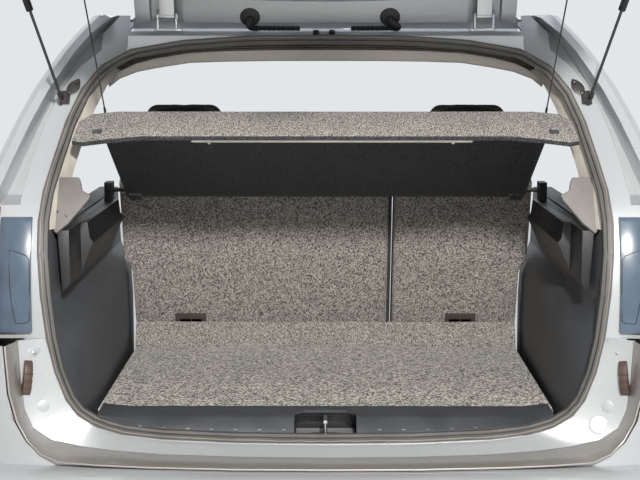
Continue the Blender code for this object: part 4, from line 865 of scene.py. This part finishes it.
# %% Tether bars
# Each bezel frames a bar that a child seat's strap hooks on; the bar is bright against the dark pocket.
TETHER_BAR_Y = -0.0575
TETHER_BAR_LOW = 0.017
TETHER_BAR_HIGH = 0.021
TETHER_FOOT = (-0.0572, -0.0135)
for word, side in SIDES.items():
    ends = [(side * TETHER_X, TETHER_BAR_Y, TETHER_Z - TETHER_BAR_LOW),
            (side * TETHER_X, TETHER_BAR_Y, TETHER_Z + TETHER_BAR_HIGH)]
    bar = swept(ends, 1.7 * MM, 12)
    foot = plate(soft_rectangle(0.034, 0.006, 0.002), 0.0, 0.0022)
    foot_place = Matrix.Translation((side * TETHER_X, TETHER_FOOT[0], TETHER_Z + TETHER_FOOT[1]))
    foot_place = foot_place @ Matrix.Rotation(math.pi / 2, 4, "X")
    make_piece(f"tether_bar_{word}", together(bar, (foot, foot_place)), STEEL, f"seat_back_{word}", SEAT_TURN)

# %% [markdown]
# ## Head restraints and cushion
# A head restraint is a foam pad on two steel posts that slide in guides on the seat back. The cushion is
# one wide pad with sewn channels between the places. Both are swollen in the same way as the seat backs.

# %% Head restraints
RESTRAINT_LOW = 0.5690
RESTRAINT_HIGH = 0.6850
RESTRAINT_HALF = 0.094
RESTRAINT_SEAM = 0.627
POST_OFF = 0.050
POST_LOW = 0.462
POST_RADIUS = 5 * MM
GUIDE_LEVEL = 0.5585
GUIDE_COLLAR = [
    # radius, height
    (5.4 * MM, 0.0),
    (11 * MM, 0.0),
    (11 * MM, 2.5 * MM),
    (8.5 * MM, 4.5 * MM),
    (5.4 * MM, 4.5 * MM),
    (5.4 * MM, 0.0),
]


def make_head_restraint(word, side):
    body = f"head_restraint_{word}"
    middle = side * TETHER_X
    bm = plate(soft_rectangle(2 * RESTRAINT_HALF, RESTRAINT_HIGH - RESTRAINT_LOW, 0.030, 5), -0.030, 0.038)
    turn = Matrix.Translation((middle, 0.0, (RESTRAINT_LOW + RESTRAINT_HIGH) / 2)) @ UPRIGHT
    bmesh.ops.transform(bm, matrix=turn, verts=bm.verts)
    bmesh.ops.bevel(bm, geom=bm.edges[:], offset=0.012, segments=3, affect="EDGES", profile=0.6)
    pad = blown_pad(f"restraint_pad_{word}", bm, 0.0045, 0.006, lambda point: point.z < RESTRAINT_LOW + 0.006)
    for vertex in pad.data.vertices:
        seam = (vertex.co.y - 0.004) / 0.004
        rim = min(1.0, abs(vertex.co.x - middle) / RESTRAINT_HALF + abs(vertex.co.z - RESTRAINT_SEAM) / 0.058)
        if rim > 0.9:
            inward = Vector((vertex.co.x - middle, 0.0, vertex.co.z - RESTRAINT_SEAM)).normalized()
            vertex.co -= inward * 0.0022 * math.exp(-seam * seam)
    pad.data.materials.append(SEAT_CLOTH)
    pad.data.shade_smooth()
    pad.matrix_world = SEAT_TURN
    finer = pad.modifiers.new("finer", "SUBSURF")
    finer.levels = finer.render_levels = 1
    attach(pad, body)
    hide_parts(body)
    posts = []
    guides = []
    for off in (-POST_OFF, POST_OFF):
        levels = (POST_LOW, POST_LOW + 0.012, RESTRAINT_LOW + 0.010)
        posts.append(swept([(middle + off, 0.0, level) for level in levels], POST_RADIUS, 16))
        guides.append((turned(GUIDE_COLLAR, 24), Matrix.Translation((middle + off, 0.0, GUIDE_LEVEL))))
    make_piece(f"restraint_posts_{word}", together(*posts), STEEL, body, SEAT_TURN, 0.0006)
    make_piece(f"restraint_guides_{word}", together(*guides), BLACK_TRIM, f"seat_back_{word}", SEAT_TURN)


for word, side in SIDES.items():
    make_head_restraint(word, side)

# %% Cushion
CUSHION_LOW, CUSHION_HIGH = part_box("seat_cushion")
CUSHION_IN = 0.016
CUSHION_SEAMS = (-0.40, -0.19, 0.19, 0.40)


def make_cushion():
    size = CUSHION_HIGH - CUSHION_LOW
    centre = (CUSHION_LOW + CUSHION_HIGH) / 2
    outline = soft_rectangle(size.x - CUSHION_IN, size.y - CUSHION_IN, 0.040, 5)
    bm = plate(outline, -size.z / 2 + 0.001, size.z / 2 - 0.012)
    bmesh.ops.transform(bm, matrix=Matrix.Translation(centre), verts=bm.verts)
    top = [e for e in bm.edges if all(v.co.z > centre.z for v in e.verts)]
    bmesh.ops.bevel(bm, geom=top, offset=0.020, segments=3, affect="EDGES", profile=0.6)
    pad = blown_pad("seat_cushion_pad", bm, 0.011, 0.010, lambda point: point.z < CUSHION_LOW.z + 0.012)
    for vertex in pad.data.vertices:
        if vertex.co.z > centre.z:
            for seam in CUSHION_SEAMS:
                away = (vertex.co.x - seam) / 0.011
                vertex.co.z -= 0.006 * math.exp(-away * away)
            away = (vertex.co.y - centre.y - 0.10) / 0.011
            vertex.co.z -= 0.006 * math.exp(-away * away)
    pad.data.materials.append(SEAT_CLOTH)
    pad.data.shade_smooth()
    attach(pad, BODY_OF["seat_cushion"])
    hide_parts("seat_cushion")


make_cushion()
print("head restraints and cushion are padded")

# %% [markdown]
# ## Shelf cords
# A thin black cord on each side joins a knob inside the tailgate to a hook near the shelf's rear corner, and
# the open tailgate holds the shelf up by them. The cord is taut here, so it is a straight line with a
# moulded eye at each end. Its length is the model's: both of its ends are in the frame. When the tailgate
# shuts, the real cord goes slack and gathers up; the piece here stays straight.

# %% Cords
CORD_THICK = 0.003
CORD_POINTS = 16
SLEEVE = [
    # radius, distance from the cord's end
    (0.0, 0.0),
    (2.3 * MM, 0.0),
    (2.6 * MM, 2 * MM),
    (2.6 * MM, 12 * MM),
    (1.7 * MM, 18 * MM),
    (0.0, 18 * MM),
]


def cord_ends(node):
    points = sorted((v.co.copy() for v in NODES[node].data.vertices), key=lambda point: point.z)
    count = len(points) // 2
    return sum(points[count:], Vector()) / (len(points) - count), sum(points[:count], Vector()) / count


for word in SIDES:
    node = f"shelf_cord_{word}"
    upper, lower = cord_ends(node)
    route = [upper.lerp(lower, k / (CORD_POINTS - 1)) for k in range(CORD_POINTS)]
    cord = make_piece(f"shelf_lift_cord_{word}", swept(route, CORD_THICK / 2, 12), CORD_WEAVE, BODY_OF[node])
    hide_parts(node)
    ends = []
    for end, inward in ((upper, (lower - upper).normalized()), (lower, (upper - lower).normalized())):
        ends.append((turned(SLEEVE, 14),
                     Matrix.Translation(end) @ inward.to_track_quat("Z", "Y").to_matrix().to_4x4()))
    eyes = make_piece(f"shelf_cord_eyes_{word}", together(*ends), BLACK_TRIM, BODY_OF[node])
    for piece in (cord, eyes):
        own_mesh(piece)
    print("cord", word, "is", round((lower - upper).length, 3), "m")

# %% [markdown]
# ## Trims round the inside of the opening
# Mouldings finish the bay's mouth: the roof lining's rolled edge under the header, paler than the headliner
# as painted light, with a ribbed lip over its joint, and a taupe cover on each lower corner of the pillars.
# The seal itself has a rib, paler in part as a painted highlight, and a groove drawn as a black line of
# painted shade.

# %% Roof lining's edge
LINING_EDGE = [
    # half width, lower edge, top edge behind the seal
    (0.000, 1.4226, 1.4652),
    (0.120, 1.4224, 1.4645),
    (0.220, 1.4210, 1.4620),
    (0.300, 1.4183, 1.4565),
    (0.370, 1.4074, 1.4456),
    (0.415, 1.3987, 1.4324),
    (0.455, 1.3835, 1.4110),
    (0.478, 1.3655, 1.3920),
]
LINING_FACE_Y = 0.331
LINING_ROLL = [
    # forward of the face, above the lower edge: the face, the roll and the return
    (0.0000, None),
    (0.0010, 0.0090),
    (0.0055, 0.0015),
    (0.0140, 0.0000),
    (0.0600, 0.0110),
    (0.1200, 0.0300),
    (0.1200, 0.0345),
    (0.0600, 0.0155),
    (0.0150, 0.0045),
    (0.0085, 0.0060),
    (0.0050, 0.0110),
    (0.0040, None),
]


LINING_STATIONS = [(-x, low, top) for x, low, top in reversed(LINING_EDGE[1:])] + LINING_EDGE


def lining_edge():
    return lofted([
        [at(x, LINING_FACE_Y + deep, top if rise is None else low + rise) for deep, rise in LINING_ROLL]
        for x, low, top in LINING_STATIONS
    ])


lining = make_piece("roof_lining_edge", lining_edge(), LIT_LINING_FELT, "body")
print("roof lining's edge has", len(lining.data.polygons), "faces")

# %% Ribbed lip above the lining
LIP_SHARE = 0.56
LIP_RIB_COUNT = 4
LIP_STAND = 0.0055


def header_lip():
    """A ribbed rubber lip that hides the joint between the seal and the lining's edge."""
    profile = [(-0.0005, 1.0)]
    for k in range(LIP_RIB_COUNT * 4):
        share = 1.0 - (1.0 - LIP_SHARE) * (k + 0.5) / (LIP_RIB_COUNT * 4)
        profile.append((0.0008 + LIP_STAND * (0.62 + 0.38 * math.cos(k * math.pi / 2)), share))
    profile.append((-0.0005, LIP_SHARE))
    return lofted([
        [at(x, LINING_FACE_Y - stand, low + share * (top - low)) for stand, share in profile]
        for x, low, top in LINING_STATIONS
    ])


make_piece("header_lip", header_lip(), PALE_RUBBER_AND_HIGHLIGHT, "body")

# %% Corner covers
COVER_OUTLINE = [
    # pixels of the left cover
    (54.5, 177),
    (79, 177),
    (80.5, 181),
    (82, 190),
    (91, 195),
    (88, 200),
    (68, 223),
    (56, 233),
    (53.5, 231),
]
COVER_LEAN = 0.4545
COVER_Y = 0.066
COVER_Z = 1.080
COVER_THICK = 0.012


def on_cover_plane(px, py):
    """Where the line through a pixel meets the leaning plane of the corner cover."""
    way = sight(px, py)
    normal = Vector((0.0, 1.0, -COVER_LEAN))
    far = normal.dot(at(0.0, COVER_Y, COVER_Z) - CAMERA_PLACE) / normal.dot(way)
    return CAMERA_PLACE + way * far


def corner_cover(side):
    inward = Vector((0.0, 1.0, -COVER_LEAN)).normalized() * COVER_THICK
    outer = [on_cover_plane(px, py) for px, py in COVER_OUTLINE]
    if side > 0:
        outer = [Vector((-point.x, point.y, point.z)) for point in outer]
    return lofted([outer, [point + inward for point in outer]])


for word, side in SIDES.items():
    make_piece(f"corner_cover_{word}", corner_cover(side), TAUPE_TRIM, "body", None, 0.0022, 3)

# %% Ribs and groove on the seal
# The groove is a black line sunk in the seal: painted shade in the crease between its lips. The rib is paler
# than the seal, partly as a painted highlight.
SEAL_MIDDLE = (321, 236)
SEAL_REACH = (150, 340)
SEAL_STEP = 0.98
SEAL_SINK = 0.0009
SEAL_LINES = [
    # name, share of the seal's width, finish, radius
    ("seal_groove", 0.46, BLACK_TRIM, 0.0016),
    ("seal_rib", 0.80, PALE_RUBBER_AND_HIGHLIGHT, 0.0018),
]


def seal_line(share, count=120):
    """A closed line on the seal, at a share of its width from its inner edge, found by sight."""
    points = []
    for k in range(count):
        angle = 2 * math.pi * k / count
        hits = []
        for step in range(*SEAL_REACH):
            px = SEAL_MIDDLE[0] + step * SEAL_STEP * math.cos(angle)
            py = SEAL_MIDDLE[1] - step * SEAL_STEP * math.sin(angle)
            point, _, _, _ = surface("weatherstrip").ray_cast(CAMERA_PLACE, sight(px, py))
            if point is not None:
                hits.append((step, px, py))
        if len(hits) < 4:
            continue
        inner, outer = hits[0], hits[-1]
        px = inner[1] + (outer[1] - inner[1]) * share
        py = inner[2] + (outer[2] - inner[2]) * share
        found = spot(px, py, "weatherstrip")
        if found:
            points.append(found[0] - found[1] * SEAL_SINK)
    return points


for name, share, finish, radius in SEAL_LINES:
    line = seal_line(share)
    print(name, "follows", len(line), "points")
    if len(line) > 60:
        make_piece(name, swept(line, radius, 8, True), finish, "body")

# %% [markdown]
# ## Fittings on the shelf, header and tailgate
# Two clips on the shelf's lip, a pale strip with two knobs under it, trim clips on the roof's header, plugs
# and hinge bolts on the tailgate: each is a few millimetres across, and each catches light on its edge.

# %% Shelf fittings
SEEN_AT = {
    # fitting: pixel at which its left one shows
    "lip_clip": (97, 132),
    "gate_plug": (78, 12),
    "hinge_bolt_1": (155, 15),
    "hinge_bolt_2": (182, 15),
    "ramp_screw": (34, 353),
    "ramp_screw_boss": (34.5, 352.5),
    "ramp_boss_high": (43.5, 406),
    "ramp_boss_low": (53, 424.5),
    "step_boss": (13.5, 417),
    "buffer_wedge": (26.5, 378),
    "strut_bracket": (73.5, 88),
}


def both_sides(stem, nodes, build, finish, rounding=0.0, lift=0.0, turn=0.0):
    """Makes a fitting where its left one shows and its mirror image on the right."""
    found = spot(*SEEN_AT[stem], *nodes)
    if not found:
        return
    point, normal, node = found
    place = facing(point + normal * lift, normal) @ Matrix.Rotation(turn, 4, "Z")
    body = BODY_OF[node]
    other = body.replace("left", "right")
    make_piece(f"{stem}_left", build(), finish, body, place, rounding)
    bm = build()
    bmesh.ops.transform(bm, matrix=Matrix.Diagonal((-1.0, 1.0, 1.0, 1.0)), verts=bm.verts)
    bmesh.ops.reverse_faces(bm, faces=bm.faces)
    make_piece(f"{stem}_right", bm, finish, other, mirrored(place), rounding)


def lip_clip():
    return together(
        plate(soft_rectangle(0.020, 0.013, 0.003), -0.001, 0.0028),
        (plate(soft_rectangle(0.004, 0.010, 0.0015), 0.0, 0.0062), Matrix.Translation((0.008, 0.0, 0.0))),
    )


both_sides("lip_clip", ("parcel_shelf",), lip_clip, SLATE_TRIM, 0.0006)

# %% Rail under the lip
SHELF_TURN = Matrix.Translation(at(0.0, 0.665, 1.105)) @ Matrix.Rotation(math.radians(-25.3), 4, "X")
LIP_SLOPE = math.radians(53.0)
LIP_START = Vector((0.0, -0.503, -0.0123))
LIP_DEEP = 0.100
RAIL_ENDS = (-0.277, 0.304)
RAIL_TAPER = 0.004
RAIL_KNOBS = (-0.240, 0.263)
RAIL_KNOB = [
    # radius, height
    (0.0, -1.0 * MM),
    (2.2 * MM, -1.0 * MM),
    (2.2 * MM, 1.5 * MM),
    (3.2 * MM, 2.6 * MM),
    (3.0 * MM, 4.6 * MM),
    (1.6 * MM, 5.6 * MM),
    (0.0, 5.8 * MM),
]
down_lip = Vector((0.0, -math.cos(LIP_SLOPE), -math.sin(LIP_SLOPE)))
into_bay = Vector((0.0, math.sin(LIP_SLOPE), -math.cos(LIP_SLOPE)))


def lip_point(x, along, inward):
    return LIP_START + Vector((x, 0.0, 0.0)) + down_lip * along + into_bay * inward


def lip_rail():
    rings = []
    for x in (RAIL_ENDS[0], RAIL_ENDS[0] + RAIL_TAPER, RAIL_ENDS[1] - RAIL_TAPER, RAIL_ENDS[1]):
        tip = 0.0015 if x in RAIL_ENDS else 0.0
        corners = [
            (LIP_DEEP - 0.012, -0.0002),
            (LIP_DEEP + 0.0045 - tip, -0.0002),
            (LIP_DEEP + 0.0055 - tip, 0.0010),
            (LIP_DEEP + 0.0045 - tip, 0.0028),
            (LIP_DEEP - 0.012, 0.0028),
        ]
        rings.append([lip_point(x, along, inward) for along, inward in corners])
    return lofted(rings)


make_piece("lip_rail", lip_rail(), RAIL_GREY, "parcel_shelf", SHELF_TURN, 0.0004)
knobs = []
for x in RAIL_KNOBS:
    place = Matrix.Translation(lip_point(x, LIP_DEEP + 0.0045, 0.0014))
    knobs.append((turned(RAIL_KNOB, 18), place @ down_lip.to_track_quat("Z", "Y").to_matrix().to_4x4()))
make_piece("lip_rail_knobs", together(*knobs), RAIL_GREY, "parcel_shelf", SHELF_TURN)

# %% Header clips
HEADER_CLIP_PX = (316, 332)
HEADER_CLIP_PY = 33


def header_clip():
    stud = [(0.0, 0.0), (2.4 * MM, 0.0), (2.4 * MM, 1.2 * MM), (1.6 * MM, 2.0 * MM), (0.0, 2.0 * MM)]
    pin = turned(stud, 16)
    base = plate(soft_rectangle(0.013, 0.012, 0.003), -0.001, 0.004)
    return together(base, (pin, Matrix.Translation((0.0, 0.0, 0.004))))


for k, px in enumerate(HEADER_CLIP_PX):
    found = spot(px, HEADER_CLIP_PY, "roof_header")
    if found:
        place = facing(found[0], found[1])
        make_piece(f"header_clip_{k + 1}", header_clip(), BLACK_TRIM, BODY_OF[found[2]], place, 0.0006)

# %% Tailgate plugs and hinge bolts
PLUG = [
    # radius, height
    (0.0, 3.2 * MM),
    (4.0 * MM, 3.0 * MM),
    (6.5 * MM, 1.8 * MM),
    (9.0 * MM, 1.6 * MM),
    (9.8 * MM, 0.6 * MM),
    (9.8 * MM, -0.4 * MM),
    (0.0, -0.4 * MM),
]
BOLT_FLANGE = [
    # radius, height
    (0.0, -0.5 * MM),
    (7.5 * MM, -0.5 * MM),
    (7.5 * MM, 1.2 * MM),
    (6.8 * MM, 1.8 * MM),
    (0.0, 1.8 * MM),
]


def plug():
    return turned(PLUG, 28)


def bolt():
    return together(turned(BOLT_FLANGE, 24), plate(hexagon(4.8 * MM), 1.5 * MM, 6.0 * MM))


both_sides("gate_plug", ("tailgate_shell",), plug, BLACK_TRIM)
for stem in ("hinge_bolt_1", "hinge_bolt_2"):
    both_sides(stem, ("tailgate_shell", "hinge_arm_left"), bolt, STEEL, 0.0003)

# %% [markdown]
# ### Wiring boots
# The tailgate's wiring crosses the hinge line in two ribbed rubber boots. Each leaves the tailgate through a
# round grommet and turns towards the middle along the header. The bend belongs to both bodies, so it is
# attached to neither; the grommet rides on the tailgate.

# %% Boot bends
BOOT_HOLE_OFF_PX = 70
BOOT_HOLE_PY = 17
BOOT_RIBS = (5.6 * MM, 7.0 * MM)
GROMMET = [
    # radius, height
    (0.0, 4 * MM),
    (8 * MM, 4 * MM),
    (12 * MM, 3 * MM),
    (20 * MM, 2.4 * MM),
    (22 * MM, 1.2 * MM),
    (22 * MM, -0.4 * MM),
    (0.0, -0.4 * MM),
]


def bend_points(start, first, second, end, count=25):
    """Points of a smooth bend that leaves its start towards first and comes to its end from second."""
    points = []
    for k in range(count):
        t = k / (count - 1)
        near = (1 - t) ** 3 * start + 3 * (1 - t) ** 2 * t * first
        points.append(near + 3 * (1 - t) * t * t * second + t ** 3 * end)
    return points


def boot_bend(word, side):
    low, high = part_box(f"wiring_boot_{word}")
    middle = (low + high) / 2
    tip = Vector((low.x if side < 0 else high.x, middle.y, middle.z))
    hole_px = PICTURE_WIDE / 2 + side * BOOT_HOLE_OFF_PX
    found = spot(hole_px, BOOT_HOLE_PY, "tailgate_shell", "tailgate_spoiler", "tailgate_glass")
    if not found:
        return
    hole, normal, _ = found
    start = tip - Vector((side * 0.012, 0.0, 0.0))
    leaving = tip + Vector((side * 0.016, 0.0, 0.0))
    points = bend_points(start, leaving, hole + normal * 0.030, hole + normal * 0.001)
    ribs = [BOOT_RIBS[k % 2] for k in range(len(points))]
    bend = make_piece(f"boot_bend_{word}", swept(points, ribs, 16), BLACK_TRIM, None)
    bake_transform(bend)
    make_piece(f"boot_grommet_{word}", turned(GROMMET, 32), BLACK_TRIM, "tailgate", facing(hole, normal))


for word, side in SIDES.items():
    boot_bend(word, side)

# %% [markdown]
# ## Fittings round the opening
# The ramp below each lamp carries a screw in an oblong boss, a ribbed rubber wedge that steadies the shut
# tailgate, and round bosses pressed into the paint. The struts stand on a dark forged bracket with two bolts.

# %% Ramp fittings
RAMP = ("bumper_cover", "bumper_step", "rear_panel", "body_side_left")


def boss(radius, high=0.0009):
    shoulder = [(radius * 0.80, high), (radius * 0.95, high * 0.6)]
    return turned([(0.0, high)] + shoulder + [(radius, -0.0004), (0.0, -0.0004)], 36)


def oblong_boss():
    return plate(soft_rectangle(0.030, 0.018, 0.0088, 6), -0.0004, 0.0007)


SCREW = [
    # radius, height
    (0.0, 2.6 * MM),
    (2.2 * MM, 2.5 * MM),
    (4.2 * MM, 1.6 * MM),
    (4.8 * MM, 0.3 * MM),
    (4.8 * MM, -0.4 * MM),
    (0.0, -0.4 * MM),
]


def screw():
    return turned(SCREW, 24)


WEDGE_HALF = 0.0085
WEDGE_SIDE = [
    # along the wedge, height
    (-0.034, 0.0),
    (-0.030, 0.011),
    (-0.012, 0.014),
    (0.018, 0.012),
    (0.032, 0.006),
    (0.036, 0.0),
]


def wedge():
    """A tapered rubber block with three ribs across it."""
    block = plate(WEDGE_SIDE, -WEDGE_HALF, WEDGE_HALF)
    turn = Matrix(((0, 0, 1, 0), (1, 0, 0, 0), (0, 1, 0, 0), (0, 0, 0, 1)))
    ribs = [(swept([(-0.0088, level, high), (0.0088, level, high)], 2.2 * MM, 10), None)
            for level, high in ((-0.018, 0.0125), (-0.004, 0.0135), (0.010, 0.0125))]
    return together((block, turn), *ribs)


both_sides("ramp_screw", RAMP, screw, STEEL)
both_sides("ramp_screw_boss", RAMP, oblong_boss, PAINT, 0.0006)
both_sides("ramp_boss_high", RAMP, lambda: boss(0.0125), PAINT)
both_sides("ramp_boss_low", RAMP, lambda: boss(0.0185), PAINT)
both_sides("step_boss", RAMP, lambda: boss(0.0095), SHADED_STEP_PAINT)
both_sides("buffer_wedge", RAMP, wedge, WEDGE_BROWN, 0.001, 0.0, math.radians(-8.0))


# %% Strut brackets
def strut_bracket():
    """A two-lobed forged plate with a bolt in each lobe."""
    outline = []
    for k in range(32):
        angle = 2 * math.pi * k / 32
        waist = 0.0105 + 0.0035 * math.cos(2 * angle)
        outline.append((waist * math.cos(angle) * 0.9, 0.024 * math.sin(angle)))
    base = plate(outline, -0.0006, 0.0032)
    bolts = []
    for level in (-0.015, 0.015):
        bolts.append(plate(hexagon(4.6 * MM, level), 0.0030, 0.0072))
    return together(base, *bolts)


both_sides("strut_bracket", ("body_side_left",), strut_bracket, FOOT_STEEL, 0.0006, turn=math.radians(-28.0))

# %% Lamp cover lids
# Each lamp has a service lid beside it, and its outline is a fine dark joint in the glossy cover.
LID = [
    # pixels of the left lid
    (9.6, 250),
    (18, 252.5),
    (25.5, 255.5),
    (29, 260),
    (29.4, 290),
    (29.4, 320.5),
    (26, 323.2),
    (15.5, 323.6),
    (12.5, 310),
    (10.4, 296),
    (9.4, 280),
    (9.2, 267),
]
LID_JOINT_RADIUS = 0.9 * MM


def lid_joint():
    points = []
    for px, py in LID:
        found = spot(px, py, "lamp_bezel_left", "tail_lamp_left")
        if found:
            points.append(found[0] + found[1] * 0.0001)
    return points


lid = lid_joint()
if len(lid) > 5:
    make_piece("lid_joint_left", swept(lid, LID_JOINT_RADIUS, 8, True), BLACK_TRIM, "body")
    other_lid = [(-point.x, point.y, point.z) for point in lid]
    make_piece("lid_joint_right", swept(other_lid, LID_JOINT_RADIUS, 8, True), BLACK_TRIM, "body")

# %% Sill slots
# A row of small slots runs along the sill trim's rear edge, each with a bright lower lip.
SLOT_ROW_PY = 429.9
SLOT_ROW_BOW = 6.6
SLOT_ROW_HALF = 205
SLOT_FIRST_PX = 115.6
SLOT_PITCH_PX = 24.0
SLOT_COUNT = 18
STRIKER_WELL_PX = 325
STRIKER_WELL_HALF = 40
slots = []
for k in range(SLOT_COUNT):
    px = SLOT_FIRST_PX + SLOT_PITCH_PX * k
    if abs(px - STRIKER_WELL_PX) < STRIKER_WELL_HALF:
        continue
    bow = SLOT_ROW_BOW * (abs(px - PICTURE_WIDE / 2) / SLOT_ROW_HALF) ** 4
    found = spot(px, SLOT_ROW_PY - bow, "sill_trim")
    if found:
        slot = plate(soft_rectangle(0.0085, 0.0024, 0.0010, 2), -0.0003, 0.0008)
        slots.append((slot, facing(found[0], found[1])))
if slots:
    make_piece("sill_slots", together(*slots), STEEL, "body")
print(len(slots), "sill slots")

# %% Hooks and lamp in the trims
HOOK_HORN = [
    # across, up, out
    (0.0, 0.006, 0.002),
    (0.0, 0.006, 0.012),
    (0.0, 0.000, 0.017),
    (0.0, -0.008, 0.016),
    (0.0, -0.012, 0.010),
]
NET_HOOK_SEEN = (60.5, 218)
BAY_LAMP_SEEN = (560, 207)


def net_hook():
    back = plate(soft_rectangle(0.018, 0.034, 0.004), -0.0006, 0.0030)
    return together(back, swept(HOOK_HORN, 2.6 * MM, 12))


found = spot(*NET_HOOK_SEEN, "shelf_rest_left", "side_trim_left", "pillar_trim_left")
if found:
    make_piece("net_hook_left", net_hook(), TETHER_BROWN, "body", facing(found[0], found[1]), 0.0006)
found = spot(*BAY_LAMP_SEEN, "shelf_rest_right", "side_trim_right", "pillar_trim_right")
if found:
    place = facing(found[0], found[1])
    rim = plate(soft_rectangle(0.036, 0.024, 0.004), -0.0006, 0.0030)
    lens = plate(soft_rectangle(0.029, 0.017, 0.003), 0.0020, 0.0046)
    make_piece("bay_lamp_rim", rim, BLACK_TRIM, "body", place, 0.0006)
    make_piece("bay_lamp_lens", lens, AMBER, "body", place, 0.0008)
